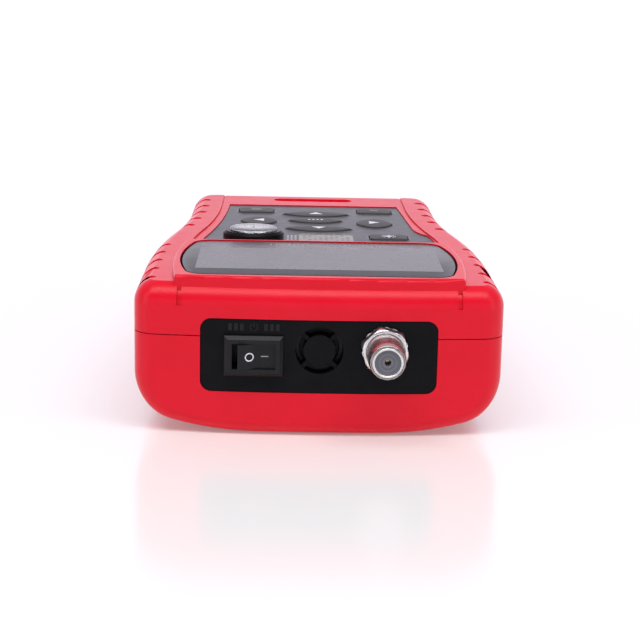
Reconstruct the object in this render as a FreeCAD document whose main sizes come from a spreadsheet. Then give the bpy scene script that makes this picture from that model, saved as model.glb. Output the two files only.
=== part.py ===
import FreeCAD, Part
import math
import os
import Sketcher
from FreeCAD import Placement, Rotation, Vector

# A handheld satellite signal meter: a red two-part case with a display, a keypad, a compass and a
# black end panel that carries the power switch, the sounder's vent and the aerial socket.
#
# Frame: millimetres. X runs across the case, Y from the end panel (near, negative) to the far end,
# Z up. The origin is on the flat of the underside, at the middle of the case's length and width.

DOC = FreeCAD.newDocument("signal_meter")

# ---------------------------------------------------------------------------------------------
# Driving dimensions
# ---------------------------------------------------------------------------------------------
DIMENSIONS = [
    # case
    ("case_length", 155.0), ("case_width", 95.0), ("far_width", 80.1),
    ("taper_near", 40.0), ("taper_far", 52.0), ("front_bow", 400.0),
    ("deck_height", 38.4), ("rail_rise", 0.35), ("rail_width", 10.4),
    ("wall", 2.2), ("edge_round", 6.0), ("edge_crest", 0.3), ("near_corner", 6.6),
    ("far_corner", 8.0),
    ("end_round", 3.5), ("belly_flat", 16.0), ("belly_radius", 90.0), ("belly_corner", 13.0),
    ("seam_height", 25.5), ("seam_gap", 0.25), ("tongue", 1.0), ("tongue_rise", 1.6),
    ("crease_width", 0.5), ("crease_depth", 0.2),
    ("fit", 0.1),
    # grip grooves, front slots and the long recess at the far end of the deck
    ("grip_width", 3.0), ("grip_reach_near", 5.4), ("grip_reach_far", 6.3), ("grip_depth", 1.0),
    ("grip_near_inset", 10.7), ("grip_near_pitch", 11.6), ("grip_far_place", 12.8),
    ("grip_far_pitch", 12.3), ("grip_foot", 33.4),
    ("front_slot_place", 35.7), ("front_slot_width", 1.2), ("front_slot_depth", 0.8),
    ("front_slot_foot", 33.3),
    ("far_slot_length", 26.0), ("far_slot_width", 5.6), ("far_slot_depth", 1.2),
    ("far_slot_inset", 10.5),
    # raised frame and window over the display
    ("frame_near", 75.2), ("frame_far", 21.4), ("frame_half", 38.7), ("frame_end_half", 36.8),
    ("frame_rise", 2.4), ("frame_corner", 3.0), ("frame_edge", 0.8),
    ("lens_near", 72.3), ("lens_far", 23.0), ("lens_half", 36.9), ("lens_end_half", 33.4),
    ("lens_corner", 5.6), ("lens_thick", 1.3), ("lens_sink", 0.2), ("tape_thick", 0.2),
    ("window_half", 33.3), ("window_near", 64.5), ("window_far", 32.9),
    # display module
    ("lcd_half", 34.5), ("lcd_near", 67.0), ("lcd_far", 30.4), ("lcd_thick", 2.2),
    ("lcd_ledge", 1.6), ("backlight_thick", 3.0), ("lcd_frame_thick", 0.4),
    ("board_thick", 1.6), ("lcd_board_half", 36.2), ("lcd_board_gap", 0.45),
    ("lcd_board_far", 25.5), ("lcd_screw_half", 32.0), ("lcd_screw_near", 70.0),
    ("lcd_screw_far", 27.7),
    # keypad
    ("keypad_depth", 0.8), ("overlay_thick", 0.5), ("keypad_far", 56.0), ("keypad_near", 19.6),
    ("keypad_far_half", 27.4), ("keypad_near_half", 35.0),
    ("keypad_waist", 2.0), ("keypad_far_bow", 1.1), ("keypad_bulge", 1.7),
    ("key_gap", 0.25), ("key_rise", 0.6), ("key_lip", 0.6), ("key_lip_thick", 0.8),
    ("key_slack", 0.1), ("key_stem", 1.5), ("key_stem_length", 0.9),
    ("dome_radius", 2.6), ("dome_thick", 0.35), ("dome_gap", 0.5),
    ("keypad_board_half", 27.0), ("keypad_board_near_half", 32.2),
    ("keypad_board_far", 57.8), ("keypad_board_near", 18.0),
    ("keypad_screw_far_x", 23.6), ("keypad_screw_far_y", 55.0),
    ("keypad_screw_near_x", 29.5), ("keypad_screw_near_y", 14.0),
    ("ribbon_width", 12.0), ("ribbon_thick", 0.3), ("ribbon_lap", 5.0),
    ("ribbon_socket_height", 1.5), ("ribbon_socket_depth", 3.8),
    # compass
    ("compass_x", -18.3), ("compass_y", -8.3), ("compass_ring", 8.84), ("compass_cup", 7.9),
    ("compass_rise", 3.3), ("compass_depth", 3.3), ("compass_bevel", 0.7),
    ("compass_bore", 6.6), ("compass_floor", 0.8), ("card_radius", 6.1), ("card_thick", 0.5),
    ("card_height", 0.6), ("card_hub", 1.0), ("card_hub_depth", 0.9), ("pivot_radius", 0.4),
    ("pivot_gap", 0.08), ("pivot_tip", 0.45), ("crystal_radius", 6.95), ("crystal_thick", 0.7),
    ("crystal_dome", 20.7), ("crystal_rise", 0.8),
    # end panel
    ("panel_half", 30.15), ("panel_foot", 11.3), ("panel_head", 30.25), ("panel_corner", 2.8),
    ("panel_sink", 0.2), ("panel_flange", 2.1), ("panel_flange_thick", 1.2),
    ("rib_thick", 2.0), ("rib_inner", 30.0),
    # power switch
    ("switch_x", -16.6), ("switch_z", 20.9), ("bezel_width", 15.0), ("bezel_height", 10.5),
    ("bezel_stand", 2.2), ("switch_body_width", 13.4), ("switch_body_height", 8.8),
    ("switch_body_depth", 10.0), ("switch_slot_width", 11.0), ("switch_slot_height", 6.6),
    ("rocker_pivot", 5.0), ("rocker_gap", 0.1), ("rocker_pin", 0.9), ("rocker_swing", 12.5),
    ("slot_undercut", 0.8), ("slot_land", 1.2), ("slot_floor", 2.6), ("rocker_inset", 0.6),
    ("rocker_crest", 0.34), ("rocker_foot", 1.4), ("rocker_valley", 0.7),
    ("terminal_width", 4.8), ("terminal_thick", 0.8), ("terminal_length", 7.0),
    ("terminal_pitch", 7.0),
    # sounder and its vent
    ("vent_x", 0.1), ("vent_z", 22.4), ("vent_outer", 6.1), ("vent_inner", 4.05),
    ("vent_rib", 1.0), ("vent_rib_sink", 0.4),
    ("sounder_radius", 6.0), ("sounder_depth", 8.5), ("sounder_wall", 0.8),
    ("sounder_disc_radius", 4.8), ("sounder_disc_thick", 0.3),
    # aerial socket
    ("socket_x", 16.7), ("socket_z", 23.0), ("socket_thread", 4.7625), ("socket_reach", 14.7),
    ("nose_drop", 0.8125), ("socket_taper", 1.9), ("socket_bore", 3.25),
    ("flange_ring", 1.6375), ("socket_flange_thick", 1.2), ("socket_hole", 0.75),
    ("socket_insulator_sink", 0.5), ("socket_funnel", 2.5), ("contact_radius", 0.45),
    ("contact_length", 16.0), ("washer_ring", 1.2875), ("washer_thick", 0.8),
    ("nut_wall", 0.8375), ("nut_thick", 3.1), ("nut_turn", 14.0), ("thread_relief", 0.4),
    ("relief_gap", 0.3),
    # main board and tuner
    ("board_height", 15.4), ("main_half", 36.4), ("main_near", 61.8), ("main_far", 14.0),
    ("main_screw_half", 33.0), ("main_screw_near", 57.5), ("main_screw_far", 18.0),
    ("tuner_half", 10.0), ("tuner_length", 40.0), ("tuner_height", 12.0), ("tuner_wall", 0.4),
    ("chip_size", 14.0), ("chip_thick", 1.4), ("chip_x", -18.0), ("chip_y", -42.0),
    ("header_x", -19.0), ("header_y", -28.5), ("header_pins", 8.0), ("header_pitch", 2.54),
    ("header_width", 2.5), ("header_block", 2.5), ("pin_radius", 0.32),
    # battery and charging socket
    ("cell_radius", 9.2), ("cell_length", 65.0), ("cell_gap", 0.6), ("cell_far", 57.0),
    ("cell_slack", 0.2), ("cradle_wall", 1.2), ("cradle_height", 9.0), ("contact_plate", 0.3),
    ("charge_half", 25.6), ("charge_depth", 13.5), ("charge_height", 8.0),
    ("charge_screw_x", 23.2), ("charge_screw_inset", 10.6), ("charge_gap", 0.5),
    ("jack_x", -16.0), ("jack_z", 14.4), ("jack_width", 9.0), ("jack_height", 9.6),
    ("jack_depth", 13.0), ("jack_bore", 2.9), ("jack_bore_depth", 9.5), ("jack_pin", 1.0),
    ("jack_opening", 3.5),
    # bosses and screws
    ("boss_radius", 3.2), ("boss_near_x", 39.9), ("boss_near_inset", 14.5), ("boss_far_x", 31.0),
    ("boss_far_inset", 11.0), ("boss_foot_radius", 4.3), ("boss_foot_height", 9.0),
    ("screw_radius", 1.4), ("screw_head", 2.6), ("screw_head_thick", 2.0),
    ("screw_seat", 7.5), ("screw_bite", 7.0), ("screw_slack", 0.2),
    ("small_screw", 1.0), ("small_head", 1.9), ("small_head_thick", 1.2), ("small_bite", 3.0),
    ("pillar_radius", 2.1),
]

SHEET = DOC.addObject("Spreadsheet::Sheet", "Sizes")
for row, (alias, number) in enumerate(DIMENSIONS, start=1):
    SHEET.set("A{}".format(row), alias)
    SHEET.set("B{}".format(row), repr(number))
    SHEET.setAlias("B{}".format(row), alias)
DOC.recompute()


class Size:
    """A length as a number and as the expression that gives it from the sheet."""

    def __init__(self, number, text):
        self.number = float(number)
        self.text = text

    def joined(self, sign, other, number):
        return Size(number, "({} {} {})".format(self.text, sign, other.text))

    def __add__(self, other):
        other = as_size(other)
        return self.joined("+", other, self.number + other.number)

    def __sub__(self, other):
        other = as_size(other)
        return self.joined("-", other, self.number - other.number)

    def __mul__(self, other):
        other = as_size(other)
        return self.joined("*", other, self.number * other.number)

    def __truediv__(self, other):
        other = as_size(other)
        return self.joined("/", other, self.number / other.number)

    def __rsub__(self, other):
        return as_size(other) - self

    def __neg__(self):
        return self * -1

    def root(self):
        return Size(math.sqrt(self.number), "sqrt({})".format(self.text))

    def __float__(self):
        return self.number

    __radd__ = __add__
    __rmul__ = __mul__


def as_size(item):
    return item if isinstance(item, Size) else Size(item, "{:.6f}".format(item))


class Sheet:
    """The sheet's cells by alias, such as S.wall."""

    def __getattr__(self, alias):
        return Size(SHEET.get(alias), "Sizes." + alias)


S = Sheet()
SUB_PARTS = []
UP = Rotation()
OUTWARD = Rotation(Vector(1, 0, 0), 90)     # local Z points to the near end


# ---------------------------------------------------------------------------------------------
# Building blocks
# ---------------------------------------------------------------------------------------------
def bind(thing, path, size):
    thing.setExpression(path, as_size(size).text)


def place(thing, x=0, y=0, z=0, rotation=UP):
    thing.Placement = Placement(Vector(float(x), float(y), float(z)), rotation)
    for axis, size in zip("xyz", (x, y, z)):
        bind(thing, "Placement.Base." + axis, size)


def keep(thing, label):
    """Count a finished object as a sub-part of the meter."""
    thing.Label = label
    SUB_PARTS.append(thing)
    return thing


def box(name, x0, x1, y0, y1, z0, z1):
    thing = DOC.addObject("Part::Box", name)
    bind(thing, "Length", x1 - x0)
    bind(thing, "Width", y1 - y0)
    bind(thing, "Height", z1 - z0)
    place(thing, x0, y0, z0)
    return thing


def cylinder(name, radius, height, x=0, y=0, z=0, rotation=UP):
    thing = DOC.addObject("Part::Cylinder", name)
    bind(thing, "Radius", radius)
    bind(thing, "Height", height)
    place(thing, x, y, z, rotation)
    return thing


def sphere(name, radius, x, y, z):
    thing = DOC.addObject("Part::Sphere", name)
    bind(thing, "Radius", radius)
    place(thing, x, y, z)
    return thing


def boolean(kind, name, first, second):
    thing = DOC.addObject("Part::" + kind, name)
    thing.Base = first
    thing.Tool = second
    return thing


def fused(name, things):
    thing = DOC.addObject("Part::MultiFuse", name)
    thing.Shapes = things
    return thing


class Sketch:
    """A sketch on one of a body's own origin planes, with every point held by the sheet."""

    def __init__(self, piece, role="XY_Plane", offset=0):
        self.drawing = piece.body.newObject("Sketcher::SketchObject", "Sketch")
        plane = next(f for f in piece.body.Origin.OriginFeatures if f.Role == role)
        self.drawing.AttachmentSupport = [(plane, "")]
        self.drawing.MapMode = "FlatFace"
        bind(self.drawing, "AttachmentOffset.Base.z", offset)

    def constrain(self, *arguments):
        return self.drawing.addConstraint(Sketcher.Constraint(*arguments))

    def drive(self, size, kind, *arguments):
        index = self.constrain(kind, *arguments, float(size))
        bind(self.drawing, "Constraints[{}]".format(index), size)

    def hold(self, geometry, vertex, x, y):
        """Hold a point at x, y; a plain zero puts it on the axis itself."""
        for size, kind, axis in ((x, "DistanceX", -2), (y, "DistanceY", -1)):
            if isinstance(size, Size):
                self.drive(size, kind, -1, 1, geometry, vertex)
            else:
                self.constrain("PointOnObject", geometry, vertex, axis)

    def circle(self, x, y, radius):
        centre = Vector(float(x), float(y), 0)
        index = self.drawing.addGeometry(Part.Circle(centre, Vector(0, 0, 1), float(radius)))
        self.drive(radius, "Radius", index)
        self.hold(index, 3, x, y)
        return self

    def polygon(self, points):
        first = self.drawing.GeometryCount
        corners = [Vector(float(x), float(y), 0) for x, y in points]
        for start, end in zip(corners, corners[1:] + corners[:1]):
            self.drawing.addGeometry(Part.LineSegment(start, end))
        for step, (x, y) in enumerate(points):
            following = (step + 1) % len(points)
            self.constrain("Coincident", first + step, 2, first + following, 1)
            self.hold(first + step, 1, x, y)
        return self

    def rectangle(self, x0, x1, y0, y1):
        return self.polygon([(x0, y0), (x1, y0), (x1, y1), (x0, y1)])

    def lens(self, width, depth):
        """Two arcs that meet in points, centred on the origin."""
        half, rise = width / 2, depth / 2
        radius = (half * half + rise * rise) / (rise * 2)
        ends = Vector(float(half), 0, 0), Vector(-float(half), 0, 0)
        for side, (start, end) in ((1, ends), (-1, ends[::-1])):
            crown = Vector(0, side * float(rise), 0)
            self.drawing.addGeometry(Part.Arc(start, crown, end))
        self.constrain("Coincident", 0, 2, 1, 1)
        self.constrain("Coincident", 0, 1, 1, 2)
        self.hold(0, 1, half, 0)
        self.hold(0, 2, -half, 0)
        self.drive(radius, "Radius", 0)
        self.drive(radius, "Radius", 1)
        return self

    def barrel(self, near, far, half, end_half):
        """Straight ends at y = -near and y = -far, and two sides that bow out between them."""
        reach, swell = (near - far) / 2, half - end_half
        radius = (reach * reach + swell * swell) / (swell * 2)
        middle = -(float(near) + float(far)) / 2
        near_right = Vector(float(end_half), -float(near), 0)
        far_right = Vector(float(end_half), -float(far), 0)
        near_left, far_left = (Vector(-p.x, p.y, 0) for p in (near_right, far_right))
        edges = [
            Part.LineSegment(near_left, near_right),
            Part.Arc(near_right, Vector(float(half), middle, 0), far_right),
            Part.LineSegment(far_right, far_left),
            Part.Arc(far_left, Vector(-float(half), middle, 0), near_left),
        ]
        for edge in edges:
            self.drawing.addGeometry(edge)
        for start in range(4):
            self.constrain("Coincident", start, 2, (start + 1) % 4, 1)
        for geometry, vertex, x, y in ((0, 1, -end_half, -near), (0, 2, end_half, -near),
                                       (2, 1, end_half, -far), (2, 2, -end_half, -far)):
            self.hold(geometry, vertex, x, y)
        self.drive(radius, "Radius", 1)
        self.drive(radius, "Radius", 3)
        return self

    def bowed(self, half, front, radius, back):
        """A plan with straight sides and back, and a front that bows out to y = -front."""
        sag = float(radius) - math.sqrt(float(radius) ** 2 - float(half) ** 2)
        corner = Vector(float(half), sag - float(front), 0)
        across = Vector(-corner.x, corner.y, 0)
        rear = [Vector(sign * float(half), -float(back), 0) for sign in (1, -1)]
        self.drawing.addGeometry(Part.Arc(across, Vector(0, -float(front), 0), corner))
        self.drawing.addGeometry(Part.LineSegment(corner, rear[0]))
        self.drawing.addGeometry(Part.LineSegment(rear[0], rear[1]))
        self.drawing.addGeometry(Part.LineSegment(rear[1], across))
        for start in range(4):
            self.constrain("Coincident", start, 2, (start + 1) % 4, 1)
        self.drive(radius, "Radius", 0)
        self.hold(0, 3, 0, radius - front)
        self.hold(2, 1, half, -back)
        self.hold(2, 2, -half, -back)
        self.constrain("Vertical", 1)
        self.constrain("Vertical", 3)
        return self


class Piece:
    """A PartDesign body, built one feature after another."""

    def __init__(self, label, x=0, y=0, z=0, rotation=UP):
        self.body = DOC.addObject("PartDesign::Body", label)
        self.body.AllowCompound = True
        place(self.body, x, y, z, rotation)
        keep(self.body, label)

    def sketch(self, role="XY_Plane", offset=0):
        return Sketch(self, role, offset)

    def feature(self, kind, sketch, length, reverse):
        thing = self.body.newObject("PartDesign::" + kind, kind)
        thing.Profile = sketch.drawing
        bind(thing, "Length", length)
        thing.Reversed = reverse
        sketch.drawing.Visibility = False
        return self

    def pad(self, sketch, length, reverse=False):
        return self.feature("Pad", sketch, length, reverse)

    def pocket(self, sketch, length, reverse=False):
        DOC.recompute()
        before = self.body.Shape.Volume
        self.feature("Pocket", sketch, length, reverse)
        DOC.recompute()
        if self.body.Shape.Volume > before - 1e-6:
            raise RuntimeError(self.body.Label + ": a pocket cuts nothing")
        return self

    def revolve(self, sketch):
        thing = self.body.newObject("PartDesign::Revolution", "Revolution")
        thing.Profile = sketch.drawing
        thing.ReferenceAxis = (sketch.drawing, ["V_Axis"])
        thing.Angle = 360
        return self

    def dress(self, kind, prop, size, test):
        """Fillet or chamfer the edges that pass the test."""
        DOC.recompute()
        tip = self.body.Tip
        names = ["Edge{}".format(i) for i, e in enumerate(tip.Shape.Edges, start=1) if test(e)]
        thing = self.body.newObject("PartDesign::" + kind, kind)
        thing.Base = (tip, names)
        bind(thing, prop, size)
        return self

    def fillet(self, radius, test):
        return self.dress("Fillet", "Radius", radius, test)

    def chamfer(self, size, test):
        return self.dress("Chamfer", "Size", size, test)


def upright(edge):
    """A straight edge along the local Z."""
    box_ = edge.BoundBox
    return box_.ZLength > 1e-3 and box_.XLength < 1e-6 and box_.YLength < 1e-6


def along_y(edge):
    box_ = edge.BoundBox
    return box_.YLength > 1e-3 and box_.XLength < 1e-6 and box_.ZLength < 1e-6


def flat_at(height):
    """Edges that lie in the plane z = height."""
    def test(edge):
        box_ = edge.BoundBox
        return box_.ZLength < 1e-6 and abs(box_.ZMin - float(height)) < 1e-6
    return test


def shell_piece(label, shape):
    """A sub-part whose shape no single feature makes, such as half of the case."""
    thing = DOC.addObject("Part::Feature", label)
    thing.Shape = shape
    thing.Placement = Placement()
    return keep(thing, label)


# ---------------------------------------------------------------------------------------------
# Case geometry
# ---------------------------------------------------------------------------------------------
def line(start, end):
    return Part.LineSegment(Vector(*start), Vector(*end)).toShape()


def arc(start, middle, end):
    return Part.Arc(Vector(*start), Vector(*middle), Vector(*end)).toShape()


def mirrored(points):
    return [(-x, y, z) for x, y, z in reversed(points)]


def side_turn():
    """Radius and turn of the two arcs that draw the case in from its width to its far width."""
    run = float(S.taper_near + S.taper_far) / 2
    drop = float(S.case_width - S.far_width) / 4
    radius = (run * run + drop * drop) / (2 * drop)
    return radius, math.asin(run / radius)


def flank(inset):
    """The right side from near to far, drawn in by inset: straight, two tangent arcs, straight."""
    radius, turn = side_turn()
    wide, slim = float(S.case_width) / 2, float(S.far_width) / 2
    start, stop = -float(S.taper_near), float(S.taper_far)

    def outward(angle):
        reach = radius - inset
        return (wide - radius + reach * math.cos(angle), start + reach * math.sin(angle), 0)

    def inward(angle):
        reach = radius + inset
        return (slim + radius - reach * math.cos(angle), stop - reach * math.sin(angle), 0)

    return [outward(0), outward(turn / 2), outward(turn), inward(turn / 2), inward(0)]


def plan(inset=0.0, overrun=0.0):
    """The case's outline seen from above, drawn in by inset, its two ends moved out by overrun."""
    side = flank(inset)
    wide, slim = side[0][0], side[-1][0]
    end = float(S.case_length) / 2 + overrun - inset
    bow = float(S.front_bow) - inset
    corner = bow - end - math.sqrt(bow * bow - wide * wide)
    left = mirrored(side)
    return Part.Wire([
        arc((-wide, corner, 0), (0, -end, 0), (wide, corner, 0)),
        line((wide, corner, 0), side[0]),
        arc(*side[0:3]),
        arc(*side[2:5]),
        line(side[4], (slim, end, 0)),
        line((slim, end, 0), (-slim, end, 0)),
        line((-slim, end, 0), left[0]),
        arc(*left[0:3]),
        arc(*left[2:5]),
        line(left[4], (-wide, corner, 0)),
    ])


def prism(wire, bottom, top):
    face = Part.Face(wire)
    face.translate(Vector(0, 0, bottom - wire.BoundBox.ZMin))
    return face.extrude(Vector(0, 0, top - bottom))


def belly(inset):
    """Everything above the rounded underside, drawn in by inset, as a long bar along Y."""
    flat, radius = float(S.belly_flat), float(S.belly_radius)
    ends = float(S.case_length)
    turn = math.asin((float(S.case_width / 2) + 1 - flat) / radius)
    rim = radius - inset
    crown = 2 * float(S.deck_height)

    def spot(sign, angle):
        return (sign * (flat + rim * math.sin(angle)), -ends, radius - rim * math.cos(angle))

    corners = [spot(1, turn), spot(-1, turn)]
    tops = [(x, y, crown) for x, y, z in corners]
    edges = [
        line((-flat, -ends, inset), (flat, -ends, inset)),
        arc((flat, -ends, inset), spot(1, turn / 2), corners[0]),
        line(corners[0], tops[0]),
        line(tops[0], tops[1]),
        line(tops[1], corners[1]),
        arc(corners[1], spot(-1, turn / 2), (-flat, -ends, inset)),
    ]
    return Part.Face(Part.Wire(edges)).extrude(Vector(0, 2 * ends, 0))


def end_edge_radii(shape, inset):
    """Edge number, start radius and end radius of the case's two ends, for a variable fillet.

    The edges of an end form one chain that runs from left to right.
    """
    reach = float(S.case_length / 2) - 3 * float(S.near_corner)
    foot = float(S.end_round) - inset
    rows = []
    for number, edge in enumerate(shape.Edges, start=1):
        limits, middle = edge.BoundBox, edge.CenterOfMass
        if abs(middle.y) < reach or limits.YLength > float(S.near_corner) + 5:
            continue
        corner = float(S.near_corner if middle.y < 0 else S.far_corner) - inset
        if limits.ZMax > shape.BoundBox.ZMax - 1e-3 and limits.ZLength < 1e-3:
            continue
        if limits.XLength < 1e-3:
            rows.append((number, corner, corner))
        elif abs(middle.x) < float(S.far_width / 2) - float(S.belly_corner) / 1.5 - 1:
            rows.append((number, foot, foot))
        else:
            rows.append((number, foot, corner) if middle.x > 0 else (number, corner, foot))
    return rows


def case_volume(name, inset, top):
    """The case as one solid, drawn in by inset, with its sides and ends rounded."""
    block = prism(plan(inset), 0.0, top).common(belly(inset)).Solids[0]
    lower_sides = []
    for edge in block.Edges:
        limits, middle = edge.BoundBox, edge.CenterOfMass
        if middle.z < top / 3 and limits.YLength > 8 and abs(middle.x) > float(S.far_width) / 3:
            lower_sides.append(edge)
    rounded = DOC.addObject("Part::Feature", name + "_block")
    rounded.Shape = block.makeFillet(float(S.belly_corner) - inset, lower_sides)
    ends = DOC.addObject("Part::Fillet", name)
    ends.Base = rounded
    ends.Edges = end_edge_radii(rounded.Shape, inset)
    DOC.recompute()
    return ends.Shape


def rounded_top(shape, radius):
    crown = shape.BoundBox.ZMax
    rim = [e for e in shape.Edges
           if e.BoundBox.ZLength < 1e-3 and abs(e.BoundBox.ZMax - crown) < 1e-3]
    return shape.makeFillet(radius, rim)


def barrel(near, far, half, end_half, corner):
    """A rounded outline whose two sides bow out, as of the display's window and its frame."""
    near, far, half, end_half = -float(near), -float(far), float(half), float(end_half)
    middle = (near + far) / 2
    edges = [
        line((-end_half, near, 0), (end_half, near, 0)),
        arc((end_half, near, 0), (half, middle, 0), (end_half, far, 0)),
        line((end_half, far, 0), (-end_half, far, 0)),
        arc((-end_half, far, 0), (-half, middle, 0), (-end_half, near, 0)),
    ]
    block = Part.Face(Part.Wire(edges)).extrude(Vector(0, 0, 1))
    corners = [e for e in block.Edges if upright(e)]
    block = block.makeFillet(float(corner), corners)
    base = next(f for f in block.Faces if f.BoundBox.ZMax < 1e-6)
    return base.OuterWire


def keypad_plan(inset=0.0):
    """The keypad's outline: it flares to the near end, with a fuller bulge on the right."""
    far, near = float(S.keypad_far), -float(S.keypad_near)
    slim, wide = float(S.keypad_far_half), float(S.keypad_near_half)
    waist = slim + float(S.keypad_waist)
    bow, bulge = float(S.keypad_far_bow), float(S.keypad_bulge)
    shoulder = (wide - 1.6, far - 0.7 * (far - near), 0)
    neck = (waist + 0.2, far - 0.53 * (far - near), 0)
    edges = [
        line((-slim, far, 0), (slim, far, 0)),
        arc((slim, far, 0), (slim + bow, far - 0.27 * (far - near), 0), neck),
        arc(neck, (waist + bulge, far - 0.64 * (far - near), 0), shoulder),
        arc(shoulder, (wide - 0.6, far - 0.8 * (far - near), 0), (wide - 0.8, near, 0)),
        line((wide - 0.8, near, 0), (-wide, near, 0)),
        arc((-wide, near, 0), (-waist, (far + near) / 2, 0), (-slim, far, 0)),
    ]
    wire = Part.Wire(edges)
    return wire.makeOffset2D(-inset, 2, False, False) if inset else wire


def lens_wire(x, y, width, depth):
    half, rise = width / 2, depth / 2
    return Part.Wire([
        arc((x + half, y, 0), (x, y + rise, 0), (x - half, y, 0)),
        arc((x - half, y, 0), (x, y - rise, 0), (x + half, y, 0)),
    ])


def pad_wire(x, y, width, depth, corner):
    """A rectangle with rounded corners."""
    block = Part.makeBox(width, depth, 1, Vector(x - width / 2, y - depth / 2, 0))
    block = block.makeFillet(corner, [e for e in block.Edges if upright(e)])
    return next(f for f in block.Faces if f.BoundBox.ZMax < 1e-6).OuterWire


# ---------------------------------------------------------------------------------------------
# Levels and places that several sub-parts share
# ---------------------------------------------------------------------------------------------
def sag(radius, half):
    """How far an arc of this radius has fallen back at half from its crown."""
    return radius - (radius * radius - half * half).root()


CASE_END = S.case_length / 2
DECK_INSIDE = S.deck_height - S.wall
FRAME_TOP = S.deck_height + S.frame_rise
LENS_TOP = FRAME_TOP - S.lens_sink
LENS_FOOT = LENS_TOP - S.lens_thick
LENS_SEAT = LENS_FOOT - S.tape_thick
LCD_CEILING = LENS_SEAT - S.lcd_ledge
LCD_TOP = LCD_CEILING - S.lcd_frame_thick
BACKLIGHT_TOP = LCD_TOP - S.lcd_thick
LCD_BOARD_TOP = BACKLIGHT_TOP - S.backlight_thick
LCD_BOARD_FOOT = LCD_BOARD_TOP - S.board_thick

OVERLAY_FOOT = S.deck_height - S.keypad_depth
OVERLAY_TOP = OVERLAY_FOOT + S.overlay_thick
KEY_TOP = OVERLAY_TOP + S.key_rise
KEY_LIP_TOP = DECK_INSIDE - S.key_slack
KEY_LIP_FOOT = KEY_LIP_TOP - S.key_lip_thick
KEY_STEM_FOOT = KEY_LIP_FOOT - S.key_stem_length
DOME_TOP = KEY_STEM_FOOT - S.dome_gap
KEYPAD_BOARD_TOP = DOME_TOP - S.dome_thick
KEYPAD_BOARD_FOOT = KEYPAD_BOARD_TOP - S.board_thick

MAIN_BOARD_TOP = S.board_height + S.board_thick

PANEL_FRONT = CASE_END - S.panel_sink
PANEL_BOW = S.front_bow - S.panel_sink
PANEL_FLANGE_HALF = S.panel_half + S.panel_flange
FLANGE_FRONT = CASE_END - S.wall - sag(S.front_bow - S.wall, PANEL_FLANGE_HALF) - S.fit / 2
FLANGE_BACK = FLANGE_FRONT - S.panel_flange_thick
LCD_BOARD_NEAR = FLANGE_BACK - S.lcd_board_gap
SWITCH_SEAT = PANEL_FRONT - sag(PANEL_BOW, S.bezel_width / 2 + S.fit - S.switch_x) - S.fit / 2
WASHER_RADIUS = S.socket_thread + S.washer_ring
SOCKET_SEAT = PANEL_FRONT - sag(PANEL_BOW, WASHER_RADIUS + S.fit + S.socket_x) - S.fit / 2
PIVOT = SWITCH_SEAT + S.bezel_stand - S.rocker_pivot
SOCKET_LENGTH = SOCKET_SEAT + S.socket_reach - FLANGE_BACK

CRYSTAL_INSIDE = S.crystal_dome - S.crystal_thick
CRYSTAL_SEAT = (S.compass_rise + S.crystal_rise - S.crystal_dome
                + (CRYSTAL_INSIDE * CRYSTAL_INSIDE - S.crystal_radius * S.crystal_radius).root())

CELL_PLACE = S.cell_radius + S.cell_gap / 2
CRADLE_HALF = CELL_PLACE + S.cell_radius + S.cell_slack + S.cradle_wall
CRADLE_FOOT = S.wall + sag(S.belly_radius - S.wall, CRADLE_HALF - S.belly_flat)
CELL_HEIGHT = CRADLE_FOOT + S.cradle_wall + S.cell_radius
CELL_NEAR = S.cell_far - S.cell_length
CHARGE_FAR = CASE_END - S.wall - S.charge_gap

NEAR_BOSSES = [(S.boss_near_x * side, S.boss_near_inset - CASE_END) for side in (-1, 1)]
FAR_BOSSES = [(S.boss_far_x * side, CASE_END - S.boss_far_inset) for side in (-1, 1)]
CASE_BOSSES = NEAR_BOSSES + FAR_BOSSES


def corners(x, y_near, y_far):
    """Four places, left and right of the middle at two distances along the case."""
    return [(x * side, y) for y in (y_near, y_far) for side in (-1, 1)]


LCD_SCREWS = corners(S.lcd_screw_half, -S.lcd_screw_near, -S.lcd_screw_far)
MAIN_SCREWS = corners(S.main_screw_half, -S.main_screw_near, -S.main_screw_far)
KEYPAD_SCREWS = ([(S.keypad_screw_far_x * side, S.keypad_screw_far_y) for side in (-1, 1)]
                 + [(S.keypad_screw_near_x * side, -S.keypad_screw_near_y) for side in (-1, 1)])
CHARGE_SCREWS = [(S.charge_screw_x * side, CHARGE_FAR - S.charge_screw_inset) for side in (-1, 1)]

# Each key: name, outline, centre, width along X (or along Y for an upright lens) and depth.
KEYS = [
    ("key_menu", "pad", -18.4, 45.0, 11.0, 8.6),
    ("key_exit", "pad", 19.5, 46.0, 11.0, 8.6),
    ("key_up", "lens", 0.6, 38.9, 21.0, 9.6),
    ("key_ok", "lens", 0.3, 26.7, 16.6, 9.4),
    ("key_down", "lens", 1.1, 12.2, 20.2, 9.6),
    ("key_left", "upright", -17.3, 24.8, 14.0, 10.8),
    ("key_right", "upright", 18.5, 23.0, 15.5, 10.8),
    ("key_light", "pad", 21.6, -0.9, 11.2, 8.0),
]
KEY_CORNER = 1.6
LENS_TIP = 0.7


def key_wire(outline, x, y, width, depth, gap):
    if outline == "pad":
        return pad_wire(x, y, width + 2 * gap, depth + 2 * gap, KEY_CORNER + gap)
    wire = lens_wire(0, 0, width, depth).makeOffset2D(gap)
    if outline == "upright":
        wire.rotate(Vector(), Vector(0, 0, 1), 90)
    wire.translate(Vector(x, y, 0))
    return wire


def key_holes(bottom, top):
    gap = float(S.key_gap)
    return [prism(key_wire(*key[1:], gap), bottom, top) for key in KEYS]


def post(x, y, radius, bottom, top):
    return Part.makeCylinder(float(radius), float(top) - float(bottom),
                             Vector(float(x), float(y), float(bottom)))


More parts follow.
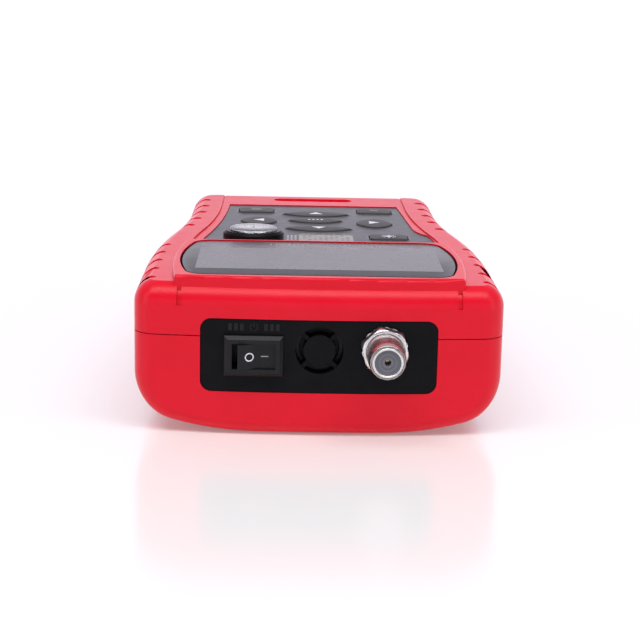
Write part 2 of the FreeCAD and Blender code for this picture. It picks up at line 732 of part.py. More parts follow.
def slab(bottom, top, near=None, far=None):
    """A wide block between two heights, and between two Y where they are given."""
    reach = 2 * float(S.case_length)
    near = -reach if near is None else near
    far = reach if far is None else far
    return Part.makeBox(2 * reach, far - near, top - bottom, Vector(-reach, near, bottom))


# ---------------------------------------------------------------------------------------------
# Case
# ---------------------------------------------------------------------------------------------
def half_width_at(y):
    """Half the case's width at y."""
    radius, turn = side_turn()
    wide, slim = float(S.case_width) / 2, float(S.far_width) / 2
    near, far = -float(S.taper_near), float(S.taper_far)
    if y <= (near + far) / 2:
        along = max(y - near, 0.0)
        return wide - radius + math.sqrt(radius ** 2 - along ** 2)
    along = max(far - y, 0.0)
    return slim + radius - math.sqrt(radius ** 2 - along ** 2)


def grip_grooves(crown, core):
    """Short grooves with a round inner end, cut across the rails' outer rounding."""
    width = float(S.grip_width)
    rows = []
    nearest = S.grip_near_inset - CASE_END
    for first, pitch, reach in ((nearest, S.grip_near_pitch, S.grip_reach_near),
                                (S.grip_far_place, S.grip_far_pitch, S.grip_reach_far)):
        rows += [(float(first) + step * float(pitch), float(reach)) for step in range(5)]
    cutters = []
    for y, reach in rows:
        inner = half_width_at(y) - reach + width / 2
        foot = float(S.grip_foot)
        for side in (-1, 1):
            start = inner if side > 0 else -inner - 3 * width
            cutters.append(Part.makeBox(3 * width, width, crown - foot,
                                        Vector(start, y - width / 2, foot)))
            cutters.append(post(side * inner, y, width / 2, foot, crown))
    return [cutter.cut(core) for cutter in cutters]


def front_slots(crown, core):
    """Two narrow slots that run over the near edge of the deck."""
    width, foot = float(S.front_slot_width), float(S.front_slot_foot)
    near = -float(CASE_END) - 1
    cutters = []
    for side in (-1, 1):
        block = Part.makeBox(width, float(S.front_slot_depth) + 5.0, crown - foot,
                             Vector(side * float(S.front_slot_place) - width / 2, near, foot))
        cutters.append(block.cut(core))
    return cutters


def inset_core(name, depth, top):
    """The case's outside drawn in by depth, whose surface is the floor of shallow grooves."""
    return crested(name, depth, top - depth)


def crested(name, inset, top):
    """The case drawn in by inset. Its top is cut a little below the round's highest line, so the
    round meets the flat at a crisp edge."""
    whole = case_volume(name, inset, top + float(S.edge_crest))
    return rounded_top(whole, float(S.edge_round) - inset).common(slab(-1.0, top))


def outer_case():
    """The whole outside: deck, rails with their grooves, and the raised frame of the display."""
    deck, crown = float(S.deck_height), float(S.deck_height + S.rail_rise)
    over = float(S.wall) * 10
    rail_inner = float(S.rail_width)
    start = -float(S.frame_far) - 1
    field = prism(plan(rail_inner, over), deck, crown + 1)
    case = crested("case_outside", 0.0, crown).cut(field.common(slab(deck, crown + 1, near=start)))

    half_crease = float(S.crease_width) / 2
    floor = deck - float(S.crease_depth)
    crease = prism(plan(rail_inner - half_crease, over), floor, crown + 1)
    crease = crease.cut(prism(plan(rail_inner + half_crease, over), floor, crown + 1))
    case = case.cut(crease.common(slab(floor, crown + 1, near=start)))

    cutters = grip_grooves(crown + 1, inset_core("grip_core", float(S.grip_depth), crown))
    cutters += front_slots(crown + 1, inset_core("slot_core", float(S.front_slot_depth), crown))
    far_slot = pad_wire(0, float(CASE_END - S.far_slot_inset), float(S.far_slot_length),
                        float(S.far_slot_width), float(S.far_slot_width) / 2 - 0.01)
    cutters.append(prism(far_slot, deck - float(S.far_slot_depth), deck + 1))
    case = case.cut(cutters)
    return case.fuse(display_frame()).removeSplitter()


def display_frame():
    """The raised frame; its near end bows out as the case's front does."""
    top = float(FRAME_TOP)
    foot = float(S.deck_height) - float(S.edge_round)
    near, bow = float(S.frame_near), float(S.front_bow)
    wire = barrel(near, S.frame_far, S.frame_half, S.frame_end_half, S.frame_corner)
    block = prism(wire, foot, top)
    block = block.common(Part.makeCylinder(bow, top - foot, Vector(0, bow - near, foot)))
    rim = [e for e in block.Edges if flat_at(top)(e)]
    return block.makeFillet(float(S.frame_edge), rim)


def panel_opening():
    """The hole for the end panel, through the near wall of both halves."""
    gap = float(S.fit)
    half, foot, head = float(S.panel_half) + gap, float(S.panel_foot) - gap, float(S.panel_head)
    depth = 4 * float(S.wall)
    block = Part.makeBox(2 * half, depth, head + gap - foot,
                         Vector(-half, -float(CASE_END) - 1, foot))
    return block.makeFillet(float(S.panel_corner) + gap, [e for e in block.Edges if along_y(e)])


def panel_ribs(cavity, top):
    """Two ribs that rise from the floor behind the end panel's flange, one at each side."""
    near = -float(FLANGE_BACK) + float(S.fit) / 2
    width = float(PANEL_FLANGE_HALF - S.rib_inner)
    ribs = []
    for x in (float(S.rib_inner), -float(PANEL_FLANGE_HALF)):
        rib = Part.makeBox(width, float(S.rib_thick), top, Vector(x, near, 0))
        ribs.append(rib.common(cavity))
    return ribs


def bottom_shell(outside, cavity, tongue_ring):
    seam = float(S.seam_height)
    lower = slab(-1.0, seam)
    shell = outside.common(lower).cut(cavity)
    rise = float(S.tongue_rise)
    additions = [tongue_ring.common(slab(seam - 1.0, seam + rise))]
    additions += panel_ribs(cavity, float(S.panel_foot))
    roomy = outside.common(lower)
    for x, y in CASE_BOSSES:
        additions.append(post(x, y, S.boss_radius, 0, seam).common(roomy))
        additions.append(post(x, y, S.boss_foot_radius, 0, S.boss_foot_height).common(roomy))
    for x, y in MAIN_SCREWS:
        additions.append(post(x, y, S.pillar_radius, 0, S.board_height).common(roomy))
    for x, y in CHARGE_SCREWS:
        additions.append(post(x, y, S.pillar_radius, 0, S.charge_height).common(roomy))
    shell = shell.fuse(additions)

    cutters = [panel_opening()]
    for x, y in CASE_BOSSES:
        cutters.append(post(x, y, S.screw_radius + S.screw_slack, 0, seam + 1))
        cutters.append(post(x, y, S.screw_head + S.screw_slack, -1, S.screw_seat))
    for x, y in MAIN_SCREWS:
        cutters.append(pilot(x, y, S.board_height, -1))
    for x, y in CHARGE_SCREWS:
        cutters.append(pilot(x, y, S.charge_height, -1))
    cutters.append(Part.makeCylinder(float(S.jack_opening), 4 * float(S.wall),
                                     Vector(float(S.jack_x), float(CASE_END) - 2 * float(S.wall),
                                            float(S.jack_z)), Vector(0, 1, 0)))
    return shell.cut(cutters).removeSplitter()


def pilot(x, y, level, direction):
    """The hole for a small screw, up or down from a level."""
    depth = float(S.small_bite + S.fit * 3)
    start, end = sorted((float(level), float(level) + direction * depth))
    return post(x, y, S.small_screw + S.fit / 2, start, end)


def top_shell(outside, cavity, tongue_room):
    seam, gap = float(S.seam_height), float(S.seam_gap)
    crown = float(FRAME_TOP) + 1
    inside = float(DECK_INSIDE)
    room = cavity.common(slab(0.0, inside))
    shell = outside.common(slab(seam + gap, crown)).cut(room)
    shell = shell.cut(tongue_room.common(slab(seam, seam + float(S.tongue_rise))))
    upper = outside.common(slab(seam, crown))
    additions = [post(x, y, S.boss_radius, seam, inside).common(upper) for x, y in CASE_BOSSES]
    for x, y in LCD_SCREWS:
        additions.append(post(x, y, S.pillar_radius, LCD_BOARD_TOP, inside).common(upper))
    for x, y in KEYPAD_SCREWS:
        additions.append(post(x, y, S.pillar_radius, KEYPAD_BOARD_TOP, inside))
    shell = shell.fuse(additions)

    cutters = [panel_opening()]
    for x, y in CASE_BOSSES:
        cutters.append(post(x, y, S.screw_radius + S.fit / 2, seam - 1,
                            S.seam_height + S.screw_bite + S.fit * 5))
    for x, y in LCD_SCREWS:
        cutters.append(pilot(x, y, LCD_BOARD_TOP, 1))
    for x, y in KEYPAD_SCREWS:
        cutters.append(pilot(x, y, KEYPAD_BOARD_TOP, 1))
    cutters += display_cuts(inside, crown) + keypad_cuts(inside, crown)
    return shell.cut(cutters).removeSplitter()


def display_cuts(inside, crown):
    """The lens's seat, the window below it and the pocket for the display's metal frame."""
    gap = float(S.fit)
    seat = barrel(S.lens_near + gap, S.lens_far - gap, S.lens_half + gap,
                  S.lens_end_half + gap, S.lens_corner + gap)
    ceiling = float(LCD_CEILING)
    half = float(S.lcd_half + S.lcd_frame_thick) + 2 * gap
    near, far = float(S.lcd_near) + 2 * gap, float(S.lcd_far) - 2 * gap
    edge = float(S.lcd_frame_thick)
    window_near, window_far = float(S.window_near), float(S.window_far)
    return [
        prism(seat, float(LENS_SEAT), crown),
        Part.makeBox(2 * float(S.window_half), window_near - window_far, crown - inside,
                     Vector(-float(S.window_half), -window_near, inside)),
        Part.makeBox(2 * half, near - far + 2 * edge, ceiling - inside + 1,
                     Vector(-half, -near - edge, inside - 1)),
    ]


def keypad_cuts(inside, crown):
    """The shallow seat of the overlay, the keys' holes and the compass's hole."""
    cup = S.compass_cup + S.fit
    cuts = key_holes(inside - 1, crown)
    cuts.append(prism(keypad_plan(), float(OVERLAY_FOOT), crown))
    cuts.append(post(S.compass_x, S.compass_y, cup, inside - 1, crown))
    frame = prism(barrel(S.frame_near, S.frame_far, S.frame_half, S.frame_end_half,
                         S.frame_corner), float(OVERLAY_FOOT) - 1, crown)
    cuts[-2] = cuts[-2].cut(frame)
    return cuts


def make_case():
    deck = float(S.deck_height)
    wall, tongue, gap = float(S.wall), float(S.tongue), float(S.fit)
    outside = outer_case()
    cavity = rounded_top(case_volume("cavity", wall, deck - wall), float(S.edge_round) - wall)
    ring_outer = case_volume("tongue_outer", wall - tongue, deck - wall)
    room_outer = case_volume("tongue_room", wall - tongue - gap, deck - wall)
    shell_piece("bottom_shell", bottom_shell(outside, cavity, ring_outer.cut(cavity)))
    shell_piece("top_shell", top_shell(outside, cavity, room_outer))


def make_overlay():
    """The keypad's printed face sheet."""
    foot, top = float(OVERLAY_FOOT), float(OVERLAY_TOP)
    sheet = prism(keypad_plan(float(S.fit)), foot, top)
    frame = prism(barrel(S.frame_near, S.frame_far, S.frame_half, S.frame_end_half,
                         S.frame_corner).makeOffset2D(float(S.fit)), foot - 1, top + 1)
    cutters = key_holes(foot - 1, top + 1) + [frame]
    cutters.append(post(S.compass_x, S.compass_y, S.compass_cup + S.fit, foot - 1, top + 1))
    shell_piece("keypad_overlay", sheet.cut(cutters).removeSplitter())


# ---------------------------------------------------------------------------------------------
# End panel and what it carries
# ---------------------------------------------------------------------------------------------
def make_end_panel():
    panel = Piece("end_panel")
    height = S.panel_head - S.panel_foot
    plug = panel.sketch(offset=S.panel_foot)
    panel.pad(plug.bowed(S.panel_half, PANEL_FRONT, PANEL_BOW, FLANGE_FRONT), height)
    flange = panel.sketch("XZ_Plane", FLANGE_FRONT)
    flange.rectangle(-PANEL_FLANGE_HALF, PANEL_FLANGE_HALF,
                     S.panel_foot - S.panel_flange, S.panel_head + S.panel_flange)
    panel.pad(flange, S.panel_flange_thick, reverse=True)
    panel.fillet(S.panel_corner, along_y)

    ahead = CASE_END + 1
    through = ahead
    half_wide, half_high = S.bezel_width / 2 + S.fit, S.bezel_height / 2 + S.fit
    seat = panel.sketch("XZ_Plane", ahead)
    seat.rectangle(S.switch_x - half_wide, S.switch_x + half_wide,
                   S.switch_z - half_high, S.switch_z + half_high)
    panel.pocket(seat, ahead - SWITCH_SEAT)
    half_wide, half_high = S.switch_body_width / 2 + S.fit, S.switch_body_height / 2 + S.fit
    hole = panel.sketch("XZ_Plane", ahead)
    hole.rectangle(S.switch_x - half_wide, S.switch_x + half_wide,
                   S.switch_z - half_high, S.switch_z + half_high)
    panel.pocket(hole, through)

    seat = panel.sketch("XZ_Plane", ahead)
    seat.circle(S.socket_x, S.socket_z, WASHER_RADIUS + S.fit)
    panel.pocket(seat, ahead - SOCKET_SEAT)
    hole = panel.sketch("XZ_Plane", ahead)
    hole.circle(S.socket_x, S.socket_z, S.socket_thread + S.fit)
    panel.pocket(hole, through)

    vent = panel.sketch("XZ_Plane", ahead)
    vent.circle(S.vent_x, S.vent_z, S.vent_outer)
    vent.circle(S.vent_x, S.vent_z, S.vent_inner)
    panel.pocket(vent, through)
    reach = S.vent_outer * math.sqrt(0.5)
    half_rib = S.vent_rib * math.sqrt(0.125)
    rib_front = PANEL_FRONT - S.vent_rib_sink
    for lean in (1, -1):
        bar = panel.sketch("XZ_Plane", FLANGE_BACK)
        bar.polygon([(S.vent_x + reach * a + half_rib * b, S.vent_z + (reach * a - half_rib * b) * lean)
                     for a, b in ((-1, -1), (-1, 1), (1, 1), (1, -1))])
        panel.pad(bar, rib_front - FLANGE_BACK)


def make_switch():
    """A rocker switch, built around its pivot: the body, the rocker and the two terminals."""
    where = (S.switch_x, -PIVOT, S.switch_z)
    front, seat = -S.rocker_pivot, -S.rocker_pivot + S.bezel_stand
    back = seat + S.switch_body_depth
    housing = Piece("switch_housing", *where)
    bezel = housing.sketch(offset=-S.bezel_height / 2)
    bezel.rectangle(-S.bezel_width / 2, S.bezel_width / 2, front, seat)
    housing.pad(bezel, S.bezel_height)
    housing.chamfer(S.bezel_stand * 0.4, lambda e: abs(e.BoundBox.YMax - float(front - PIVOT)) < 1e-6
                    or abs(e.BoundBox.YMax - float(front)) < 1e-6)
    body = housing.sketch(offset=-S.switch_body_height / 2)
    body.rectangle(-S.switch_body_width / 2, S.switch_body_width / 2, seat, back)
    housing.pad(body, S.switch_body_height)

    half = S.switch_slot_width / 2
    undercut, inner = half + S.slot_undercut, half + S.slot_undercut / 2
    land = front + S.slot_land
    right = [(half, front - 1), (half, front), (undercut, land),
             (undercut, land + S.slot_undercut),
             (inner, seat), (inner, S.slot_floor)]
    slot = housing.sketch(offset=S.switch_slot_height / 2)
    slot.polygon(right + [(-x, y) for x, y in reversed(right)])
    housing.pocket(slot, S.switch_slot_height)
    bore_length = S.switch_slot_height + S.rocker_pin * 1.7
    bore = housing.sketch(offset=bore_length / 2)
    bore.circle(0, 0, S.rocker_pin + S.rocker_gap / 2)
    housing.pocket(bore, bore_length)

    rocker = Piece("switch_rocker", *where, Rotation(Vector(0, 0, 1), float(S.rocker_swing)))
    crest_x, crest = half - S.rocker_inset, -S.rocker_pivot - S.rocker_crest
    right = [(crest_x, crest), (crest_x + 0.31, crest + 0.3), (crest_x - 0.3, crest + 2.14),
             (crest_x - 1.9, S.rocker_foot)]
    height = S.switch_slot_height - S.rocker_gap * 2
    face = rocker.sketch(offset=-height / 2)
    face.polygon([(0, S.rocker_valley - S.rocker_pivot)] + right + [(-x, y) for x, y in reversed(right)])
    rocker.pad(face, height)
    pin_length = S.switch_slot_height + S.rocker_pin * 1.5
    pin = rocker.sketch(offset=-pin_length / 2)
    pin.circle(0, 0, S.rocker_pin)
    rocker.pad(pin, pin_length)

    terminals = Piece("switch_terminals", *where)
    blades = terminals.sketch("XZ_Plane", -back)
    for side in (-1, 1):
        middle = S.terminal_pitch / 2 * side
        blades.rectangle(middle - S.terminal_thick / 2, middle + S.terminal_thick / 2,
                         -S.terminal_width / 2, S.terminal_width / 2)
    terminals.pad(blades, S.terminal_length, reverse=True)


def make_sounder():
    cup = Piece("sounder_cup", S.vent_x, -FLANGE_BACK, S.vent_z, OUTWARD)
    cup.pad(cup.sketch(offset=-S.sounder_depth).circle(0, 0, S.sounder_radius), S.sounder_depth)
    hollow = S.sounder_depth - S.sounder_wall
    cup.pocket(cup.sketch().circle(0, 0, S.sounder_radius - S.sounder_wall), hollow)
    disc = Piece("sounder_disc", S.vent_x, -FLANGE_BACK, S.vent_z, OUTWARD)
    disc.pad(disc.sketch(offset=-hollow).circle(0, 0, S.sounder_disc_radius),
             S.sounder_disc_thick)


def make_socket():
    """The threaded aerial socket with its insulator, contact, lock washer and nut."""
    where = (S.socket_x, -FLANGE_BACK, S.socket_z, OUTWARD)
    tip, back = SOCKET_LENGTH, -S.socket_flange_thick
    body = Piece("socket_body", *where)
    profile = body.sketch("XZ_Plane")
    seat = SOCKET_SEAT - FLANGE_BACK
    flange, neck = S.socket_thread + S.flange_ring, S.socket_thread - S.thread_relief
    relief = seat + S.washer_thick + S.nut_thick + S.relief_gap
    profile.polygon([
        (S.socket_bore, back), (flange, back), (flange, 0), (neck, 0), (neck, relief),
        (S.socket_thread, relief), (S.socket_thread, tip - S.socket_taper),
        (S.socket_thread - S.nose_drop, tip), (S.socket_bore, tip),
    ])
    body.revolve(profile)

    core_radius = S.socket_bore - S.fit / 5
    pin_room = S.contact_radius + S.fit / 5
    front = tip - S.socket_insulator_sink
    funnel = front - S.socket_funnel
    insulator = Piece("socket_insulator", *where)
    profile = insulator.sketch("XZ_Plane")
    profile.polygon([(pin_room, back), (core_radius, back), (core_radius, front),
                     (S.socket_hole, front), (S.socket_hole, funnel), (pin_room, funnel)])
    insulator.revolve(profile)
    contact = Piece("socket_contact", *where)
    start = funnel - S.contact_length - S.socket_flange_thick * 4
    contact.pad(contact.sketch(offset=start).circle(0, 0, S.contact_radius), funnel - start)

    washer = Piece("lock_washer", *where)
    ring = washer.sketch(offset=seat)
    ring.circle(0, 0, WASHER_RADIUS)
    ring.circle(0, 0, S.socket_thread + S.fit / 2)
    washer.pad(ring, S.washer_thick)

    point = (S.socket_thread + S.nut_wall) * (2 / math.sqrt(3))
    turns = [math.radians(60 * k + 30 + float(S.nut_turn)) for k in range(6)]
    nut_bore = S.socket_thread - S.thread_relief + S.fit / 2
    nut = Piece("socket_nut", *where)
    hexagon = nut.sketch(offset=seat + S.washer_thick)
    hexagon.polygon([(point * math.cos(turn), point * math.sin(turn)) for turn in turns])
    hexagon.circle(0, 0, nut_bore)
    nut.pad(hexagon, S.nut_thick)


# ---------------------------------------------------------------------------------------------
# Display
# ---------------------------------------------------------------------------------------------
def make_display():
    lens = Piece("display_lens")
    outline = lens.sketch(offset=LENS_FOOT)
    lens.pad(outline.barrel(S.lens_near, S.lens_far, S.lens_half, S.lens_end_half), S.lens_thick)
    lens.fillet(S.lens_corner, upright)

    tape = Piece("lens_tape")
    outline = tape.sketch(offset=LENS_SEAT)
    tape.pad(outline.barrel(S.lens_near, S.lens_far, S.lens_half, S.lens_end_half),
             S.tape_thick)
    tape.fillet(S.lens_corner, upright)
    opening = tape.sketch(offset=LENS_FOOT)
    opening.rectangle(-S.window_half, S.window_half, -S.window_near, -S.window_far)
    tape.pocket(opening, S.tape_thick)

    keep(box("glass", -S.lcd_half, S.lcd_half, -S.lcd_near, -S.lcd_far, BACKLIGHT_TOP, LCD_TOP),
         "lcd_glass")
    keep(box("backlight", -S.lcd_half, S.lcd_half, -S.lcd_near, -S.lcd_far,
             LCD_BOARD_TOP, BACKLIGHT_TOP), "lcd_backlight")
    thick = S.lcd_frame_thick
    outer = box("frame_outer", -S.lcd_half - thick, S.lcd_half + thick, -S.lcd_near - thick,
                -S.lcd_far + thick, LCD_BOARD_TOP, LCD_CEILING)
    inner = box("frame_inner", -S.lcd_half, S.lcd_half, -S.lcd_near, -S.lcd_far,
                LCD_BOARD_TOP, LCD_TOP)
    view = box("frame_view", -S.window_half, S.window_half, -S.window_near, -S.window_far,
               LCD_BOARD_TOP, LCD_CEILING)
    keep(boolean("Cut", "frame", outer, fused("frame_space", [inner, view])), "lcd_frame")

    board = Piece("lcd_board")
    outline = board.sketch(offset=LCD_BOARD_FOOT)
    outline.rectangle(-S.lcd_board_half, S.lcd_board_half, -LCD_BOARD_NEAR, -S.lcd_board_far)
    board.pad(outline, S.board_thick)
    screw_holes(board, LCD_SCREWS, LCD_BOARD_TOP)
    small_screws("lcd_screws", LCD_SCREWS, LCD_BOARD_FOOT, up=True)


def screw_holes(board, places, top):
    holes = board.sketch(offset=top)
    for x, y in places:
        holes.circle(x, y, S.small_screw + S.fit)
    board.pocket(holes, S.board_thick)


def small_screws(label, places, level, up):
    """Self-tapping screws through a board into pillars; level is the face under their heads."""
    screws = Piece(label)
    heads = screws.sketch(offset=level)
    shanks = screws.sketch(offset=level)
    for x, y in places:
        heads.circle(x, y, S.small_head)
        shanks.circle(x, y, S.small_screw)
    screws.pad(heads, S.small_head_thick, reverse=up)
    screws.pad(shanks, S.board_thick + S.small_bite, reverse=not up)


# ---------------------------------------------------------------------------------------------
# Keypad and compass
# ---------------------------------------------------------------------------------------------
def make_keys():
    for label, outline, x, y, width, depth in KEYS:
        turn = Rotation(Vector(0, 0, 1), 90 if outline == "upright" else 0)
        key = Piece(label, x, y, KEY_LIP_TOP, turn)
        width, depth = as_size(width), as_size(depth)
        tip = as_size(KEY_CORNER if outline == "pad" else LENS_TIP)

        def layer(grow, offset):
            sketch = key.sketch(offset=offset)
            if outline == "pad":
                half, rise = width / 2 + grow, depth / 2 + grow
                return sketch.rectangle(-half, half, -rise, rise)
            return sketch.lens(width + grow * 2, depth + grow * 2)

        key.pad(layer(as_size(0), as_size(0)), KEY_TOP - KEY_LIP_TOP)
        key.pad(layer(S.key_lip, -S.key_lip_thick), S.key_lip_thick)
        key.fillet(tip, upright)
        stem = key.sketch(offset=-S.key_lip_thick - S.key_stem_length)
        key.pad(stem.circle(0, 0, S.key_stem), S.key_stem_length)


def make_keypad_board():
    board = Piece("keypad_board")
    outline = board.sketch(offset=KEYPAD_BOARD_FOOT)
    outline.polygon([(-S.keypad_board_near_half, -S.keypad_board_near),
                     (S.keypad_board_near_half, -S.keypad_board_near),
                     (S.keypad_board_half, S.keypad_board_far),
                     (-S.keypad_board_half, S.keypad_board_far)])
    board.pad(outline, S.board_thick)
    screw_holes(board, KEYPAD_SCREWS, KEYPAD_BOARD_TOP)
    small_screws("keypad_screws", KEYPAD_SCREWS, KEYPAD_BOARD_FOOT, up=True)

    domes = Piece("key_domes")
    discs = domes.sketch(offset=KEYPAD_BOARD_TOP)
    for key in KEYS:
        discs.circle(as_size(key[2]), as_size(key[3]), S.dome_radius)
    domes.pad(discs, S.dome_thick)

    ribbon = Piece("keypad_ribbon")
    near, thick = S.keypad_board_near - 1.2, S.ribbon_thick
    foot = MAIN_BOARD_TOP + S.ribbon_socket_height
    strip = ribbon.sketch("YZ_Plane", -S.ribbon_width / 2)
    strip.polygon([(-near, foot), (-near + thick, foot), (-near + thick, KEYPAD_BOARD_FOOT - thick),
                   (-near + S.ribbon_lap, KEYPAD_BOARD_FOOT - thick),
                   (-near + S.ribbon_lap, KEYPAD_BOARD_FOOT), (-near, KEYPAD_BOARD_FOOT)])
    ribbon.pad(strip, S.ribbon_width)
    half, deep = S.ribbon_width / 2 + 1.5, S.ribbon_socket_depth / 2
    keep(box("ribbon_block", -half, half, -near - deep, -near + deep, MAIN_BOARD_TOP, foot),
         "ribbon_socket")


def make_compass():
    where = (S.compass_x, S.compass_y, OVERLAY_TOP)
    housing = Piece("compass_housing", *where)
    profile = housing.sketch("XZ_Plane")
    foot, floor = -S.compass_depth, -S.compass_depth + S.compass_floor
    seat = S.crystal_radius + S.fit / 2
    profile.polygon([
        (S.pivot_radius, foot), (S.compass_cup, foot), (S.compass_cup, 0), (S.compass_ring, 0),
        (S.compass_ring, S.compass_rise - S.compass_bevel),
        (S.compass_ring - S.compass_bevel, S.compass_rise), (seat, S.compass_rise),
        (seat, CRYSTAL_SEAT), (S.compass_bore, CRYSTAL_SEAT), (S.compass_bore, floor),
        (S.pivot_radius, floor),
    ])
    housing.revolve(profile)

    pivot = Piece("compass_pivot", *where)
    pivot.pad(pivot.sketch(offset=foot).circle(0, 0, S.pivot_radius), S.pivot_tip - foot)

    card = Piece("compass_card", *where)
    card.pad(card.sketch(offset=S.card_height).circle(0, 0, S.card_radius), S.card_thick)
    hub_foot = S.card_height - S.card_hub_depth
    card.pad(card.sketch(offset=hub_foot).circle(0, 0, S.card_hub), S.card_hub_depth)
    bore_top = S.pivot_tip + S.fit
    bore = card.sketch(offset=bore_top)
    card.pocket(bore.circle(0, 0, S.pivot_radius + S.pivot_gap), bore_top - hub_foot)

    crown = OVERLAY_TOP + S.compass_rise + S.crystal_rise
    centre = crown - S.crystal_dome
    seat_level = OVERLAY_TOP + CRYSTAL_SEAT
    disc = cylinder("crystal_disc", S.crystal_radius, crown - seat_level,
                    S.compass_x, S.compass_y, seat_level)
    outer = sphere("crystal_outer", S.crystal_dome, S.compass_x, S.compass_y, centre)
    inner = sphere("crystal_inner", CRYSTAL_INSIDE, S.compass_x, S.compass_y, centre)
    dome = boolean("Common", "crystal_dome", outer, disc)
    keep(boolean("Cut", "crystal", dome, inner), "compass_crystal")


# ---------------------------------------------------------------------------------------------
# Boards, tuner, battery and charging socket
# ---------------------------------------------------------------------------------------------
def make_main_board():
    board = Piece("main_board")
    outline = board.sketch(offset=S.board_height)
    outline.rectangle(-S.main_half, S.main_half, -S.main_near, -S.main_far)
    board.pad(outline, S.board_thick)
    screw_holes(board, MAIN_SCREWS, MAIN_BOARD_TOP)
    small_screws("main_board_screws", MAIN_SCREWS, MAIN_BOARD_TOP, up=False)
    half = S.chip_size / 2
    keep(box("chip", S.chip_x - half, S.chip_x + half, S.chip_y - half, S.chip_y + half,
             MAIN_BOARD_TOP, MAIN_BOARD_TOP + S.chip_thick), "main_chip")

    header = Piece("display_header", S.header_x, S.header_y, 0)
    count = round(float(S.header_pins))
    half = S.header_pitch * count / 2
    height = LCD_BOARD_FOOT - MAIN_BOARD_TOP
    for level in (MAIN_BOARD_TOP, LCD_BOARD_FOOT - S.header_block):
        block = header.sketch(offset=level)
        block.rectangle(-half, half, -S.header_width / 2, S.header_width / 2)
        header.pad(block, S.header_block)
    pins = header.sketch(offset=MAIN_BOARD_TOP)
    for step in range(count):
        pins.circle(S.header_pitch * (step + 0.5) - half, 0, S.pin_radius)
    header.pad(pins, height)


def make_tuner():
    near = -FLANGE_BACK + S.socket_flange_thick
    far = near + S.tuner_length
    left, right = S.socket_x - S.tuner_half, S.socket_x + S.tuner_half
    top = MAIN_BOARD_TOP + S.tuner_height
    lid = top - S.tuner_wall
    wall = S.tuner_wall
    outer = box("can_outer", left, right, near, far, MAIN_BOARD_TOP, lid)
    inner = box("can_inner", left + wall, right - wall, near + wall, far - wall,
                MAIN_BOARD_TOP, lid)
    hole = cylinder("can_hole", S.contact_radius * 3, wall * 3, S.socket_x, near + wall * 2,
                    S.socket_z, OUTWARD)
    keep(boolean("Cut", "can", outer, fused("can_space", [inner, hole])), "tuner_can")
    keep(box("can_lid", left, right, near, far, lid, top), "tuner_cover")


def make_battery():
    near, far = CELL_NEAR, S.cell_far
    cells = Piece("battery_cells")
    ends = cells.sketch("XZ_Plane", -near)
    for side in (-1, 1):
        ends.circle(CELL_PLACE * side, CELL_HEIGHT, S.cell_radius)
    cells.pad(ends, S.cell_length, reverse=True)

    plates = Piece("battery_contacts")
    half = CRADLE_HALF - S.cradle_wall - S.fit
    foot, head = CRADLE_FOOT + S.cradle_wall, CELL_HEIGHT + S.cell_radius / 2
    for level in (far + S.contact_plate, near):
        plate = plates.sketch("XZ_Plane", -level)
        plates.pad(plate.rectangle(-half, half, foot, head), S.contact_plate)

    cradle = Piece("battery_cradle")
    inside_near, inside_far = near - S.contact_plate, far + S.contact_plate
    tray = cradle.sketch(offset=CRADLE_FOOT)
    tray.rectangle(-CRADLE_HALF, CRADLE_HALF, inside_near - S.cradle_wall,
                   inside_far + S.cradle_wall)
    cradle.pad(tray, S.cradle_height)
    space = cradle.sketch(offset=CRADLE_FOOT + S.cradle_height)
    inner = CRADLE_HALF - S.cradle_wall
    space.rectangle(-inner, inner, inside_near, inside_far)
    cradle.pocket(space, S.cradle_height - S.cradle_wall)


def make_charging():
    near = CHARGE_FAR - S.charge_depth
    top = S.charge_height + S.board_thick
    board = Piece("charge_board")
    outline = board.sketch(offset=S.charge_height)
    board.pad(outline.rectangle(-S.charge_half, S.charge_half, near, CHARGE_FAR), S.board_thick)
    screw_holes(board, CHARGE_SCREWS, top)
    small_screws("charge_board_screws", CHARGE_SCREWS, top, up=False)

    inner_wall = CASE_END - S.wall - S.fit / 2
    half = S.jack_width / 2
    block = box("jack_block", S.jack_x - half, S.jack_x + half, inner_wall - S.jack_depth,
                inner_wall, top, top + S.jack_height)
    bore = cylinder("jack_bore_space", S.jack_bore, S.jack_bore_depth, S.jack_x, inner_wall,
                    S.jack_z, OUTWARD)
    keep(boolean("Cut", "jack", block, bore), "charge_jack")
    length = S.jack_bore_depth - 0.5
    keep(cylinder("jack_post", S.jack_pin, length, S.jack_x,
                  inner_wall - S.jack_bore_depth + length, S.jack_z, OUTWARD), "charge_pin")


def make_case_screws():
    screws = Piece("case_screws")
    heads = screws.sketch(offset=S.screw_seat)
    shanks = screws.sketch(offset=S.screw_seat)
    for x, y in CASE_BOSSES:
        heads.circle(x, y, S.screw_head)
        shanks.circle(x, y, S.screw_radius)
    screws.pad(heads, S.screw_head_thick, reverse=True)
    screws.pad(shanks, S.seam_height + S.screw_bite - S.screw_seat)


# ---------------------------------------------------------------------------------------------
# Build, check and write
# ---------------------------------------------------------------------------------------------
def check_document():
    DOC.recompute()
    for thing in DOC.Objects:
        if "Invalid" in thing.State or "Error" in thing.State:
            raise RuntimeError("{} failed: {}".format(thing.Label, thing.State))
    for thing in SUB_PARTS:
        if thing.Shape.isNull() or not thing.Shape.isValid() or not thing.Shape.Solids:
            raise RuntimeError("{} has no valid solid".format(thing.Label))


def write_parts():
    os.makedirs("parts", exist_ok=True)
    for thing in SUB_PARTS:
        thing.Shape.exportStep(os.path.join("parts", thing.Label + ".step"))


make_case()
make_overlay()
make_end_panel()
make_switch()
make_sounder()
make_socket()
make_display()
make_keys()
make_keypad_board()
make_compass()
make_main_board()
make_tuner()
make_battery()
make_charging()
make_case_screws()
check_document()
write_parts()
print("{} sub-parts".format(len(SUB_PARTS)))
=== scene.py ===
import math

